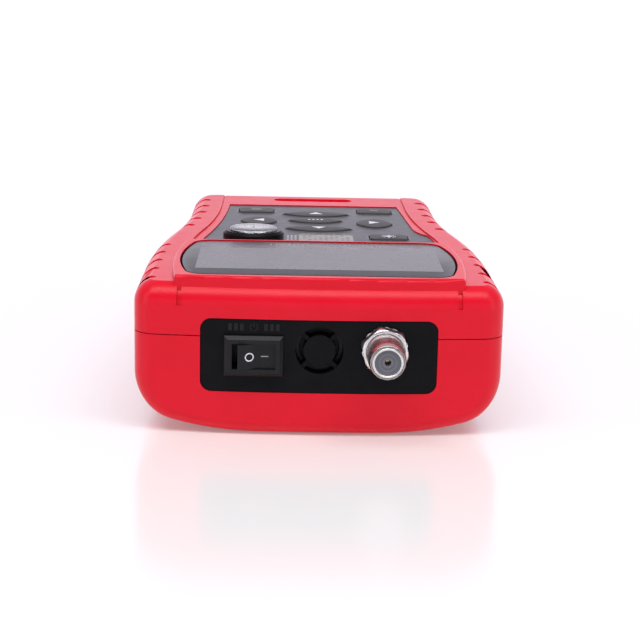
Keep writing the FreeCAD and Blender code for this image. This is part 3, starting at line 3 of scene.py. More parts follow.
import bmesh
import bpy
from mathutils import Matrix, Vector
from mathutils.bvhtree import BVHTree


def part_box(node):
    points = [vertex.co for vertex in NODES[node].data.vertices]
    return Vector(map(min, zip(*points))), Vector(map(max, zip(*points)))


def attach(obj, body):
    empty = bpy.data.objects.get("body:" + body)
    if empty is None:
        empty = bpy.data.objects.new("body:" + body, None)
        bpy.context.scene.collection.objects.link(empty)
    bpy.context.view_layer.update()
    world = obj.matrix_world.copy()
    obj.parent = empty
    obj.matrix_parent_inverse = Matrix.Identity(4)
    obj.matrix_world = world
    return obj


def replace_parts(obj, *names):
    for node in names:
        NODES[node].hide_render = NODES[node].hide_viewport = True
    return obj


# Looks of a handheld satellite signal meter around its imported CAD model. Metres, the CAD frame.
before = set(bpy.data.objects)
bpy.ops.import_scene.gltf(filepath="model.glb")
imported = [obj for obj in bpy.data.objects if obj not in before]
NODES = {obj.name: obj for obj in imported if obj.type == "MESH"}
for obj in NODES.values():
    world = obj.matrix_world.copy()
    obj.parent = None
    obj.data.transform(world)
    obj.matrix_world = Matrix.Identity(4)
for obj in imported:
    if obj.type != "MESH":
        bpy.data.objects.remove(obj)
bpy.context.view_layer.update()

MM = 0.001
UP = Vector((0, 0, 1))
FRONT = Vector((0, -1, 0))


# ---------------------------------------------------------------------------------------------
# Materials
# ---------------------------------------------------------------------------------------------
class Nodes:
    """A material's node tree, with short ways to add and join its nodes."""

    def __init__(self, name):
        self.material = bpy.data.materials.new(name)
        self.material.use_nodes = True
        self.tree = self.material.node_tree
        self.shader = self.tree.nodes["Principled BSDF"]
        self.place = self.add("ShaderNodeTexCoord").outputs["Object"]

    def add(self, kind, **values):
        node = self.tree.nodes.new(kind)
        for key, value in values.items():
            setattr(node, key, value)
        return node

    def link(self, source, target):
        self.tree.links.new(source, target)

    def noise(self, size, detail=3.0, rough=0.55, stretch=None):
        """Noise whose lumps are about size metres across, from 0 to 1."""
        place = self.place
        if stretch:
            mapping = self.add("ShaderNodeMapping")
            mapping.inputs["Scale"].default_value = stretch
            self.link(self.place, mapping.inputs["Vector"])
            place = mapping.outputs["Vector"]
        node = self.add("ShaderNodeTexNoise")
        node.inputs["Scale"].default_value = 1.0 / size
        node.inputs["Detail"].default_value = detail
        node.inputs["Roughness"].default_value = rough
        self.link(place, node.inputs["Vector"])
        return node.outputs["Fac"]

    def ramp(self, source, low, high, start=0.35, end=0.65):
        """From low to high as source goes from start to end, and no further."""
        node = self.add("ShaderNodeMapRange")
        node.inputs["From Min"].default_value = start
        node.inputs["From Max"].default_value = end
        node.inputs["To Min"].default_value = low
        node.inputs["To Max"].default_value = high
        self.link(source, node.inputs["Value"])
        return node.outputs["Result"]

    def mix(self, source, first, second):
        """Colour from first to second as source goes from 0 to 1."""
        node = self.add("ShaderNodeMix", data_type="RGBA")
        self.link(source, node.inputs["Factor"])
        for colour, socket in ((first, node.inputs[6]), (second, node.inputs[7])):
            if isinstance(colour, tuple):
                socket.default_value = (*colour, 1)
            else:
                self.link(colour, socket)
        return node.outputs[2]

    def bump(self, source, depth):
        """A normal for relief that rises by depth metres as source goes from 0 to 1."""
        node = self.add("ShaderNodeBump")
        node.inputs["Distance"].default_value = depth
        node.inputs["Strength"].default_value = 1.0
        self.link(source, node.inputs["Height"])
        return node.outputs["Normal"]

    def math(self, operation, first, second):
        node = self.add("ShaderNodeMath", operation=operation)
        for socket, value in zip(node.inputs, (first, second)):
            if isinstance(value, (int, float)):
                socket.default_value = value
            else:
                self.link(value, socket)
        return node.outputs[0]

    def set(self, **values):
        """Sets or links the shader's inputs; an underscore stands for a space in their names."""
        for key, value in values.items():
            socket = self.shader.inputs[key.replace("_", " ")]
            if isinstance(value, bpy.types.NodeSocket):
                self.link(value, socket)
            elif isinstance(value, tuple):
                socket.default_value = (*value, 1)
            else:
                socket.default_value = value
        return self.material


def moulded(name, dark, light, rough, grain, depth, specular=0.5, mottle=0.012, scuffs=0.0):
    """Moulded plastic: spark-eroded grain, slow colour drift and small differences in gloss."""
    n = Nodes(name)
    drift = n.ramp(n.noise(mottle, 4.0), 0.0, 1.0)
    fine = n.noise(grain, 2.0, 0.6)
    gloss = n.ramp(n.noise(mottle * 0.4, 5.0), rough - 0.015, rough + 0.02)
    normal = n.bump(fine, depth)
    if scuffs:
        scratch = n.noise(0.0011, 6.0, 0.7, stretch=(1.0, 0.12, 1.0))
        gloss = n.math("ADD", gloss, n.ramp(scratch, 0.0, scuffs, 0.62, 0.72))
    return n.set(Base_Color=n.mix(drift, dark, light), Roughness=gloss, Normal=normal,
                 Specular_IOR_Level=specular)


def metal(name, dark, light, rough, brushed=None, pits=0.000004):
    """Plated or rolled metal: fine tool lines, light staining and uneven polish, and a dark edge
    tint that paints shade along its rims.
    """
    n = Nodes(name)
    stain = n.ramp(n.noise(0.0022, 5.0), 0.0, 1.0, 0.3, 0.7)
    lines = n.noise(0.00022, 3.0, 0.6, stretch=brushed)
    gloss = n.ramp(n.noise(0.0009, 4.0), rough - 0.04, rough + 0.07)
    # the dark specular tint is painted shade: it dims the grazing reflections, so the rims of the
    # nut, washer and shell read as a dark outline
    return n.set(Base_Color=n.mix(stain, dark, light), Metallic=1.0, Roughness=gloss,
                 Specular_Tint=(0.35, 0.34, 0.34), Normal=n.bump(lines, pits))


def clear(name, tint, ior, rough, smears):
    """A clear moulding with faint handling smears."""
    n = Nodes(name)
    smear = n.ramp(n.noise(0.006, 5.0, 0.6, stretch=(1.0, 0.5, 1.0)), rough, rough + smears)
    drift = n.ramp(n.noise(0.02, 2.0), 0.0, 1.0)
    warmer = tuple(c * 0.97 for c in tint)
    return n.set(Base_Color=n.mix(drift, tint, warmer), Roughness=smear, IOR=ior,
                 Transmission_Weight=1.0)


def display_surface():
    """Liquid-crystal glass: pale cells in a fine grid, with a slow cloudiness."""
    n = Nodes("display_glass")
    parts = n.add("ShaderNodeSeparateXYZ")
    n.link(n.place, parts.inputs[0])
    pitch = 0.48 * MM
    line_share = 0.12
    lines = []
    for axis in ("X", "Y"):
        cell = n.math("FRACT", n.math("MULTIPLY", parts.outputs[axis], 1 / pitch), 0)
        lines.append(n.math("LESS_THAN", cell, line_share))
    grid = n.math("MAXIMUM", lines[0], lines[1])
    cloud = n.ramp(n.noise(0.018, 3.0), 0.0, 1.0)
    cells = n.mix(cloud, (0.128, 0.120, 0.130), (0.146, 0.138, 0.148))
    return n.set(Base_Color=n.mix(grid, cells, (0.124, 0.117, 0.127)),
                 Roughness=n.ramp(n.noise(0.004), 0.27, 0.29), Specular_IOR_Level=0.2)


def board_surface():
    """Solder resist over copper: a green field with slightly paler tracks."""
    n = Nodes("board_green")
    tracks = n.add("ShaderNodeTexBrick")
    tracks.inputs["Scale"].default_value = 260
    tracks.inputs["Mortar Size"].default_value = 0.03
    tracks.inputs["Color1"].default_value = (0.004, 0.060, 0.022, 1)
    tracks.inputs["Color2"].default_value = (0.006, 0.082, 0.030, 1)
    tracks.inputs["Mortar"].default_value = (0.012, 0.140, 0.055, 1)
    n.link(n.place, tracks.inputs["Vector"])
    return n.set(Base_Color=tracks.outputs["Color"], Roughness=n.ramp(n.noise(0.003), 0.25, 0.4),
                 Normal=n.bump(tracks.outputs["Fac"], 0.00002))


def insulator_surface(centre):
    """Turned nylon: faint rings round its own axis, which runs along Y."""
    n = Nodes("insulator_grey")
    ring_pitch = 0.00095
    shift = n.add("ShaderNodeVectorMath", operation="SUBTRACT")
    shift.inputs[1].default_value = centre
    n.link(n.place, shift.inputs[0])
    flat = n.add("ShaderNodeVectorMath", operation="MULTIPLY")
    flat.inputs[1].default_value = (1, 0, 1)
    n.link(shift.outputs[0], flat.inputs[0])
    length = n.add("ShaderNodeVectorMath", operation="LENGTH")
    n.link(flat.outputs[0], length.inputs[0])
    wave = n.math("SINE", n.math("MULTIPLY", length.outputs["Value"], 2 * math.pi / ring_pitch), 0)
    rings = n.ramp(wave, 0.0, 1.0, -1.0, 1.0)
    return n.set(Base_Color=n.mix(rings, (0.105, 0.106, 0.125), (0.150, 0.150, 0.172)),
                 Roughness=n.ramp(n.noise(0.0006), 0.34, 0.5), Normal=n.bump(rings, 0.00001))


def make_materials():
    lo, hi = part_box("socket_insulator")
    return {
        "case_red": moulded("case_red", (0.730, 0.0036, 0.0190), (0.755, 0.0044, 0.0225), 0.30,
                            0.00032, 0.0000010, specular=0.23),
        "panel_black": moulded("panel_black", (0.0050, 0.0050, 0.0062), (0.0066, 0.0066, 0.0082),
                               0.50, 0.00040, 0.000010, specular=0.08, mottle=0.006),
        "keypad_grey": moulded("keypad_grey", (0.0130, 0.0140, 0.0210), (0.0165, 0.0175, 0.0250),
                               0.32, 0.00030, 0.000002, specular=0.34, mottle=0.009),
        "key_grey": moulded("key_grey", (0.046, 0.043, 0.045), (0.055, 0.051, 0.053), 0.44,
                            0.00026, 0.000002, specular=0.16, mottle=0.005),
        "key_outline": moulded("key_outline", (0.110, 0.103, 0.103), (0.140, 0.132, 0.130), 0.4,
                               0.00030, 0.000004),
        "lens_black": moulded("lens_black", (0.0050, 0.0050, 0.0068), (0.0070, 0.0070, 0.0090),
                              0.24, 0.0009, 0.0000008, specular=0.20),
        "gasket_black": moulded("gasket_black", (0.0020, 0.0026, 0.0028),
                                (0.0030, 0.0036, 0.0038), 0.75, 0.0004, 0.000004, specular=0.04,
                                mottle=0.004),
        "display_glass": display_surface(),
        "nickel": metal("nickel", (0.70, 0.675, 0.66), (0.84, 0.82, 0.80), 0.30,
                        brushed=(1.0, 0.1, 1.0)),
        "steel": metal("steel", (0.42, 0.42, 0.43), (0.56, 0.56, 0.57), 0.30),
        "brass": metal("brass", (0.60, 0.42, 0.16), (0.75, 0.55, 0.24), 0.24),
        "compass_black": moulded("compass_black", (0.0060, 0.0060, 0.0070),
                                 (0.0095, 0.0095, 0.0110), 0.26, 0.00050, 0.000002,
                                 specular=0.10, scuffs=0.05),
        "switch_black": moulded("switch_black", (0.0065, 0.0065, 0.0078), (0.0085, 0.0085, 0.0100),
                                0.40, 0.00045, 0.000005, specular=0.24, mottle=0.004, scuffs=0.06),
        "card_white": moulded("card_white", (0.70, 0.69, 0.70), (0.82, 0.81, 0.82), 0.5, 0.0004,
                              0.000004, mottle=0.004),
        "crystal": clear("crystal", (0.99, 0.985, 0.99), 1.40, 0.16, 0.03),
        "board_green": board_surface(),
        "black_plastic": moulded("black_plastic", (0.010, 0.010, 0.011), (0.017, 0.017, 0.018),
                                 0.5, 0.00035, 0.000008),
        "insulator_grey": insulator_surface((lo + hi) / 2),
        "light_guide": moulded("light_guide", (0.74, 0.76, 0.72), (0.84, 0.86, 0.82), 0.3,
                               0.0005, 0.000003),
        "ribbon_amber": moulded("ribbon_amber", (0.50, 0.20, 0.025), (0.62, 0.28, 0.045), 0.3,
                                0.0006, 0.000005),
        "cell_blue": moulded("cell_blue", (0.010, 0.060, 0.22), (0.018, 0.085, 0.30), 0.28,
                             0.0007, 0.000006),
        "tape_black": moulded("tape_black", (0.0085, 0.0088, 0.0095), (0.0125, 0.0128, 0.0135),
                              0.6, 0.0004, 0.000008, mottle=0.004),
        "print_white": moulded("print_white", (0.70, 0.70, 0.76), (0.86, 0.86, 0.92), 0.42,
                               0.0002, 0.000003, mottle=0.0012),
        "print_grey": moulded("print_grey", (0.300, 0.285, 0.265), (0.350, 0.335, 0.310), 0.42,
                              0.0002, 0.000003, mottle=0.003),
        "print_black": moulded("print_black", (0.010, 0.010, 0.012), (0.020, 0.020, 0.022), 0.5,
                               0.0002, 0.000003),
    }


MATERIALS = make_materials()
# the keypad's keys, named as their CAD nodes are after key_
KEYS = ("menu", "exit", "up", "ok", "down", "left", "right", "light")
# CAD nodes whose own slot covers several finishes
FINER = {"switch_housing": "switch_black", "switch_rocker": "switch_black",
         "display_lens": "lens_black", "compass_crystal": "crystal"}
for key in KEYS:
    FINER["key_" + key] = "key_grey"


def paint_nodes():
    for name, node in NODES.items():
        for place in node.material_slots:
            wanted = FINER.get(name, place.material.name.split(".")[0])
            place.material = MATERIALS[wanted]


# ---------------------------------------------------------------------------------------------
# Meshes
# ---------------------------------------------------------------------------------------------
def piece(name, mesh, finish, body="case", smooth=40):
    """An object from a bmesh in the CAD frame, riding on a body."""
    bmesh.ops.remove_doubles(mesh, verts=mesh.verts, dist=1e-7)
    bmesh.ops.recalc_face_normals(mesh, faces=mesh.faces)
    data = bpy.data.meshes.new(name)
    mesh.to_mesh(data)
    mesh.free()
    data.materials.append(MATERIALS[finish])
    obj = bpy.data.objects.new(name, data)
    bpy.context.scene.collection.objects.link(obj)
    for polygon in data.polygons:
        polygon.use_smooth = len(polygon.vertices) <= 4
    data.set_sharp_from_angle(angle=math.radians(smooth))
    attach(obj, body)
    return obj


def grid_faces(mesh, rings, closed_ends=True):
    """Joins rings of vertices, all of one length, into a tube."""
    count = len(rings[0])
    for first, second in zip(rings, rings[1:]):
        for i in range(count):
            j = (i + 1) % count
            mesh.faces.new((first[i], first[j], second[j], second[i]))
    if closed_ends:
        mesh.faces.new(list(reversed(rings[0])))
        mesh.faces.new(rings[-1])


def turned(name, centre, levels, finish, body="case", steps=96, smooth=35):
    """A closed body round an axis along Y. levels holds (y, radius) or (y, radius of angle);
    the list runs round the section, so it ends where it starts."""
    mesh = bmesh.new()
    rings = []
    for y, radius in levels:
        ring = []
        for i in range(steps):
            a = 2 * math.pi * i / steps
            r = radius(a) if callable(radius) else radius
            deep = y(a) if callable(y) else y
            ring.append(mesh.verts.new((centre[0] + r * math.sin(a), deep,
                                        centre[1] + r * math.cos(a))))
        rings.append(ring)
    grid_faces(mesh, rings + [rings[0]], closed_ends=False)
    return piece(name, mesh, finish, body, smooth)


def upright(name, centre, levels, finish, body="case", steps=96, smooth=35):
    """A solid of revolution round an upright axis, from its foot (z, radius) to its crown."""
    mesh = bmesh.new()
    rings = []
    for z, radius in levels:
        ring = []
        for i in range(steps):
            a = 2 * math.pi * i / steps
            ring.append(mesh.verts.new((centre[0] + radius * math.cos(a),
                                        centre[1] + radius * math.sin(a), z)))
        rings.append(ring)
    grid_faces(mesh, rings)
    return piece(name, mesh, finish, body, smooth)


def surface(name):
    """A CAD node or a piece as a tree that rays can be shot at."""
    data = NODES[name].data if name in NODES else bpy.data.objects[name].data
    return BVHTree.FromPolygons([v.co for v in data.vertices],
                                [p.vertices for p in data.polygons])


def printed(name, node, shapes, finish, body="case", along=-UP, lift=0.03 * MM, sunk=0.03 * MM,
            cuts=1):
    """Thin ink or relief on a CAD node. shapes are outlines in metres: (x, y) seen from above,
    or (x, z) seen from the front. Each is laid on the node's surface and given a thickness."""
    tree = surface(node)
    along = Vector(along)
    mesh = bmesh.new()
    for outline in shapes:
        patch = bmesh.new()
        lifted = [Vector((x, y, 0)) if along.z else Vector((x, 0, y)) for x, y in outline]
        face = patch.faces.new([patch.verts.new(p) for p in lifted])
        if len(outline) > 4:
            bmesh.ops.triangulate(patch, faces=[face])
        if cuts:
            bmesh.ops.subdivide_edges(patch, edges=patch.edges, cuts=cuts, use_grid_fill=True)
        patch.verts.index_update()
        tops = []
        feet = []
        for v in patch.verts:
            hit = tree.ray_cast(v.co - along, along)[0]
            if hit is None:
                raise RuntimeError(name + " misses " + node)
            tops.append(mesh.verts.new(hit - along * lift))
            feet.append(mesh.verts.new(hit + along * sunk))
        for f in patch.faces:
            mesh.faces.new([tops[v.index] for v in f.verts])
            mesh.faces.new([feet[v.index] for v in reversed(f.verts)])
        for e in patch.edges:
            if e.is_boundary:
                a, b = (v.index for v in e.verts)
                mesh.faces.new((tops[a], tops[b], feet[b], feet[a]))
        patch.free()
    return piece(name, mesh, finish, body, smooth=30)


def strip(points, half, closed=False):
    """Quads along a line, half wide to each side."""
    count = len(points)
    sides = []
    for i, p in enumerate(points):
        before = points[i - 1] if i or closed else p
        after = points[(i + 1) % count] if i < count - 1 or closed else p
        run = Vector((after[0] - before[0], after[1] - before[1])).normalized()
        aside = Vector((-run.y, run.x)) * half
        sides.append(((p[0] + aside.x, p[1] + aside.y), (p[0] - aside.x, p[1] - aside.y)))
    quads = []
    for i in range(count if closed else count - 1):
        a, b = sides[i], sides[(i + 1) % count]
        quads.append([a[0], a[1], b[1], b[0]])
    return quads


def bar(x0, y0, x1, y1):
    return [(x0, y0), (x1, y0), (x1, y1), (x0, y1)]


def bow(x, y, radius, start, end, steps=20):
    """Points on an arc, its angles in degrees from the X axis."""
    return [(x + radius * math.cos(math.radians(start + (end - start) * i / steps)),
             y + radius * math.sin(math.radians(start + (end - start) * i / steps)))
            for i in range(steps + 1)]


def disc(x, y, radius, steps=24):
    return bow(x, y, radius, 0, 360, steps)[:-1]


def section(name, height):
    """The outer outline of a CAD node at a height, as points in order."""
    mesh = bmesh.new()
    mesh.from_mesh(NODES[name].data)
    bmesh.ops.remove_doubles(mesh, verts=mesh.verts, dist=1e-7)
    found = bmesh.ops.bisect_plane(mesh, geom=mesh.verts[:] + mesh.edges[:] + mesh.faces[:],
                                   plane_co=(0, 0, height), plane_no=(0, 0, 1))
    edges = [g for g in found["geom_cut"] if isinstance(g, bmesh.types.BMEdge)]
    near = {}
    for e in edges:
        a, b = e.verts
        near.setdefault(a, []).append(b)
        near.setdefault(b, []).append(a)
    loops = []
    left = set(near)
    while left:
        start = min(left, key=lambda v: (v.co.x, v.co.y))
        loop = [start]
        left.discard(start)
        while True:
            onward = [v for v in near[loop[-1]] if v in left]
            if not onward:
                break
            loop.append(onward[0])
            left.discard(onward[0])
        loops.append([(v.co.x, v.co.y) for v in loop])
    mesh.free()
    best = max(loops, key=lambda l: abs(area(l)))
    return best if area(best) > 0 else list(reversed(best))


def area(loop):
    return sum(a[0] * b[1] - b[0] * a[1] for a, b in zip(loop, loop[1:] + loop[:1])) / 2


def even(loop, step):
    """The same closed line with its points at equal distances."""
    total = []
    run = 0.0
    for a, b in zip(loop, loop[1:] + loop[:1]):
        total.append(run)
        run += math.dist(a, b)
    total.append(run)
    count = max(16, int(round(run / step)))
    result = []
    k = 0
    for i in range(count):
        want = run * i / count
        while total[k + 1] < want:
            k += 1
        a, b = loop[k], loop[(k + 1) % len(loop)]
        t = (want - total[k]) / max(total[k + 1] - total[k], 1e-12)
        result.append((a[0] + (b[0] - a[0]) * t, a[1] + (b[1] - a[1]) * t))
    return result


def grown(loop, by):
    """An anticlockwise outline moved outwards by a distance, or inwards if it is negative."""
    result = []
    count = len(loop)
    for i, p in enumerate(loop):
        a, b = loop[i - 1], loop[(i + 1) % count]
        run = Vector((b[0] - a[0], b[1] - a[1]))
        run = run.normalized() if run.length > 1e-12 else Vector((1, 0))
        result.append((p[0] + run.y * by, p[1] - run.x * by))
    return result


def layered(name, levels, finish, body="case", smooth=35, ring=False):
    """A solid whose outline changes with height: (z, outline) from foot to crown. With ring, the
    levels run round the section of a hoop instead."""
    mesh = bmesh.new()
    rings = [[mesh.verts.new((x, y, z)) for x, y in outline] for z, outline in levels]
    if ring:
        grid_faces(mesh, rings + [rings[0]], closed_ends=False)
    else:
        grid_faces(mesh, rings)
    return piece(name, mesh, finish, body, smooth)


# ---------------------------------------------------------------------------------------------
# Display
# ---------------------------------------------------------------------------------------------
def make_display():
    """The lens as seen from outside: a black printed border round the pale cells behind it."""
    lo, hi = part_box("display_lens")
    edge = even(section("display_lens", (lo.z + hi.z) / 2), 0.6 * MM)
    gasket = 0.45 * MM
    middle_y = (lo.y + hi.y) / 2
    # how much wider the gasket is along the near edge
    wider = 1.1 * MM
    inner = [(px, py + wider * max(0.0, (middle_y - py) / (middle_y - lo.y)) ** 6)
             for px, py in grown(edge, -gasket)]
    bevel = 0.25 * MM
    levels = [(lo.z + 0.02 * MM, inner), (hi.z - bevel, inner)]
    for i in range(1, 6):
        a = math.radians(18 * i)
        levels.append((hi.z - bevel * (1 - math.sin(a)), grown(inner, -bevel * (1 - math.cos(a)))))
    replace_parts(layered("lens_border", levels, "lens_black", smooth=40), "display_lens")
    foot, head = lo.z + 0.02 * MM, hi.z - 0.2 * MM
    hoop = [(foot, grown(inner, 0.02 * MM)), (foot, edge), (head - 0.1 * MM, edge),
            (head, grown(edge, -0.12 * MM)), (head, grown(inner, 0.15 * MM)),
            (head - 0.15 * MM, grown(inner, 0.02 * MM))]
    layered("lens_gasket", hoop, "gasket_black", ring=True)
    # the pale window's insets from the lens's far and near ends, and half its width
    far_inset = 10.9 * MM
    near_inset = 8.8 * MM
    half = 32.3 * MM
    far = hi.y - far_inset
    near = lo.y + near_inset
    rows = 6
    columns = 12
    face = [[(-half + 2 * half * i / columns, near + (far - near) * j / rows)
             for i in range(columns + 1)] for j in range(rows + 1)]
    mesh = bmesh.new()
    verts = [[mesh.verts.new((x, y, hi.z + 0.03 * MM)) for x, y in row] for row in face]
    for j in range(rows):
        for i in range(columns):
            mesh.faces.new((verts[j][i], verts[j][i + 1], verts[j + 1][i + 1], verts[j + 1][i]))
    bmesh.ops.solidify(mesh, geom=mesh.faces[:], thickness=0.06 * MM)
    piece("lens_window", mesh, "display_glass")
    # faint scale marks on the lens's far strip, in two groups
    marks = []
    strip_inset = 5.6 * MM
    spacing = 1.25
    y = hi.y - strip_inset
    for start, count in ((-13.2, 9), (2.4, 13)):
        for i in range(count):
            x = (start + spacing * i) * MM
            tall = 1.3 if i % 4 == 0 else 0.8
            marks.append(bar(x, y, x + (0.75 if i % 3 else 0.45) * MM, y + tall * MM))
    printed("lens_marks", "display_lens", marks, "print_grey", cuts=0, lift=0.015 * MM)


# ---------------------------------------------------------------------------------------------
# Keypad
# ---------------------------------------------------------------------------------------------
def triangle(x, y, half, tall, turn):
    shape = [(0, tall / 2), (-half, -tall / 2), (half, -tall / 2)]
    c, s = math.cos(math.radians(turn)), math.sin(math.radians(turn))
    return [(x + c * u - s * v, y + s * u + c * v) for u, v in shape]


def middle(name):
    lo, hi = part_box(name)
    return (lo.x + hi.x) / 2, (lo.y + hi.y) / 2


def soft_key(name, loop, overlay):
    """A moulded rubber key: lip and stem below the overlay, and a softly crowned top above it."""
    lo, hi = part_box(name)
    x, y = middle(name)
    stem_radius = 1.5 * MM
    lip_reach = 0.55 * MM
    lip_top = overlay - 2.0 * MM
    lip_foot = lip_top - 0.8 * MM

    def towards(share, inset=0.0):
        """The key's outline drawn in to a share of its reach, less an inset."""
        points = []
        for px, py in loop:
            away = Vector((px - x, py - y))
            reach = max(away.length * share - inset, 0.0)
            away.normalize()
            points.append((x + away.x * reach, y + away.y * reach))
        return points

    stem = towards(0, -stem_radius)
    lip = towards(1, -lip_reach)
    levels = [(lo.z, stem), (lip_foot, stem), (lip_foot, lip), (lip_top, lip), (lip_top, loop)]
    edge = 0.42 * MM
    crown = 0.16 * MM
    shoulder = hi.z - crown
    levels.append((shoulder - edge, loop))
    for i in range(1, 7):
        a = math.radians(15 * i)
        levels.append((shoulder - edge + edge * math.sin(a), towards(1, edge * (1 - math.cos(a)))))
    for share in (0.88, 0.74, 0.58, 0.40, 0.20, 0.04):
        levels.append((shoulder + crown * (1 - share * share), towards(share, edge * share)))
    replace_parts(layered(name + "_cap", levels, "key_grey", body=name, smooth=50), name)


def make_keypad():
    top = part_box("keypad_overlay")[1].z
    for key in KEYS:
        loop = even(section("key_" + key, top + 0.15 * MM), 0.4 * MM)
        rim = [(top - 0.02 * MM, grown(loop, 0.42 * MM)), (top - 0.02 * MM, grown(loop, 0.92 * MM)),
               (top + 0.05 * MM, grown(loop, 0.86 * MM)), (top + 0.10 * MM, grown(loop, 0.67 * MM)),
               (top + 0.05 * MM, grown(loop, 0.48 * MM))]
        layered("rim_" + key, rim, "key_outline", ring=True)
        soft_key("key_" + key, loop, top)
    for key, turn in (("up", 0), ("down", 180), ("left", 90), ("right", -90)):
        x, y = middle("key_" + key)
        printed("mark_" + key, "key_" + key + "_cap", [triangle(x, y, 2.2 * MM, 3.2 * MM, turn)],
                "print_white", body="key_" + key, cuts=3)
    # four upright dashes in place of the key's wording
    x, y = middle("key_ok")
    dots = [bar(x + (i * 1.3 - 0.35) * MM, y - 0.5 * MM, x + (i * 1.3 + 0.35) * MM, y + 0.5 * MM)
            for i in (-1.5, -0.5, 0.5, 1.5)]
    printed("mark_ok", "key_ok_cap", dots, "print_white", body="key_ok")
    # a sun: a disc and eight rays
    x, y = middle("key_light")
    lamp = [disc(x, y, 0.95 * MM)]
    for i in range(8):
        a = math.radians(45 * i)
        c, s = math.cos(a), math.sin(a)
        ray = [(x + c * 1.4 * MM, y + s * 1.4 * MM), (x + c * 2.2 * MM, y + s * 2.2 * MM)]
        lamp += strip(ray, 0.2 * MM)
    printed("mark_light", "key_light_cap", lamp, "print_white", body="key_light")
    for key in ("menu", "exit"):
        x, y = middle("key_" + key)
        rows = [bar(x - w * MM, y + (r - 0.2) * MM, x + w * MM, y + (r + 0.2) * MM)
                for r, w in ((0.9, 1.6), (0.0, 1.6), (-0.9, 1.6))]
        if key == "exit":
            rows = strip([(x + 1.3 * MM, y + 1.1 * MM), (x - 1.3 * MM, y - 1.1 * MM)], 0.2 * MM)
            rows += strip([(x - 1.3 * MM, y + 1.1 * MM), (x + 1.3 * MM, y - 1.1 * MM)], 0.2 * MM)
        printed("mark_" + key, "key_" + key + "_cap", rows, "print_grey", body="key_" + key)
    # a pale label by the compass, with rows of fine marks on it and beyond it
    printed("label_field", "keypad_overlay", [bar(-5 * MM, -7.4 * MM, 11 * MM, 2.5 * MM)],
            "print_grey", cuts=2)
    ticks = []
    for row in range(4):
        for i in range(9):
            x = (-3.9 + 1.6 * i) * MM
            y = (-5.9 + 2.2 * row) * MM
            if (i * 7 + row * 3) % 5:
                ticks.append(bar(x, y, x + 1.0 * MM, y + 0.45 * MM))
    printed("label_marks", "keypad_overlay", ticks, "print_black", cuts=0, lift=0.045 * MM)
    beyond = [bar((-4.2 + 1.55 * i) * MM, 4.1 * MM, (-3.2 + 1.55 * i) * MM, 4.75 * MM)
              for i in range(10) if i % 4 != 3]
    printed("label_heading", "keypad_overlay", beyond, "print_grey", cuts=0)
    dots = []
    for i in range(3):
        for j in range(4):
            dots.append(disc((-8.3 + 1.15 * i) * MM, (-5.6 + 2.1 * j) * MM, 0.36 * MM, 12))
    printed("label_dots", "keypad_overlay", dots, "print_white", cuts=0)


# ---------------------------------------------------------------------------------------------
# Compass
# ---------------------------------------------------------------------------------------------
def make_compass():
    lo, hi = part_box("compass_card")
    x, y = middle("compass_card")
    radius = (hi.x - lo.x) / 2
    marks = []
    for i in range(36):
        a = math.radians(10 * i)
        c, s = math.cos(a), math.sin(a)
        inner = radius * (0.74 if i % 3 == 0 else 0.84)
        marks += strip([(x + c * inner, y + s * inner), (x + c * radius * 0.95,
                        y + s * radius * 0.95)], (0.14 if i % 3 == 0 else 0.07) * MM)
    marks += strip(disc(x, y, radius * 0.68, 48), 0.05 * MM, closed=True)
    printed("card_marks", "compass_card", marks, "print_black", body="compass_card", cuts=0)
    half = 0.75 * MM
    gap = 1.1 * MM
    reach = radius * 0.62
    printed("card_north", "compass_card", [[(x - half, y + gap), (x + half, y + gap),
                                            (x, y + reach)]], "print_black", body="compass_card")
    printed("card_south", "compass_card", [[(x - half, y - gap), (x, y - reach),
                                            (x + half, y - gap)]], "print_black",
            body="compass_card")
    # a filled capsule: the clear dome carries on down to just above the card
    ring_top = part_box("compass_housing")[1].z
    foot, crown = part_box("compass_crystal")
    dome = (crown.x - foot.x) / 2
    # just inside the housing's bore
    bore = 6.5 * MM
    rise = crown.z - ring_top + 0.1 * MM
    levels = [(hi.z + 0.12 * MM, bore * 0.985), (hi.z + 0.2 * MM, bore), (foot.z + 0.02 * MM, bore),
              (foot.z + 0.02 * MM, dome - 0.03 * MM)]
    base = crown.z - rise
    levels.append((base, dome - 0.03 * MM))
    for i in range(1, 13):
        t = i / 12.5
        levels.append((base + rise * math.sqrt(1 - (1 - t) ** 2.4) if t < 1 else crown.z,
                       (dome - 0.03 * MM) * (1 - t ** 2.2) ** 0.55))
    levels = [(z, r) for z, r in levels if r > 0.2 * MM]
    levels[-1] = (crown.z, levels[-1][1])
    capsule = upright("compass_capsule", (x, y), levels, "crystal", smooth=50)
    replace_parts(capsule, "compass_crystal")


# ---------------------------------------------------------------------------------------------
# End panel
# ---------------------------------------------------------------------------------------------
def make_switch_marks():
    x, z = -17.65 * MM, 20.85 * MM
    ring = strip(disc(x, z, 0.98 * MM, 32), 0.15 * MM, closed=True)
    printed("mark_off", "switch_rocker", ring, "print_white", body="rocker", along=-FRONT, cuts=0)
    dash = bar(-14.75 * MM, 20.78 * MM, -12.85 * MM, 21.02 * MM)
    printed("mark_on", "switch_rocker", [dash], "print_grey", body="rocker", along=-FRONT)


def make_panel_marks():
    """A power symbol between two short rules, raised in the panel's own plastic."""
    x, z = -16.6 * MM, 28.2 * MM
    shapes = strip(bow(x, z, 0.95 * MM, 125, 415, 30), 0.14 * MM)
    shapes += [bar(x - 0.14 * MM, z, x + 0.14 * MM, z + 1.25 * MM)]
    for side in (-1, 1):
        for i in range(3):
            start = x + side * (2.6 + 1.5 * i) * MM
            end = start + side * 0.9 * MM
            shapes.append(bar(min(start, end), z - 0.9 * MM, max(start, end), z + 0.9 * MM))
    printed("panel_relief", "end_panel", shapes, "switch_black", along=-FRONT, lift=0.12 * MM,
            cuts=0)


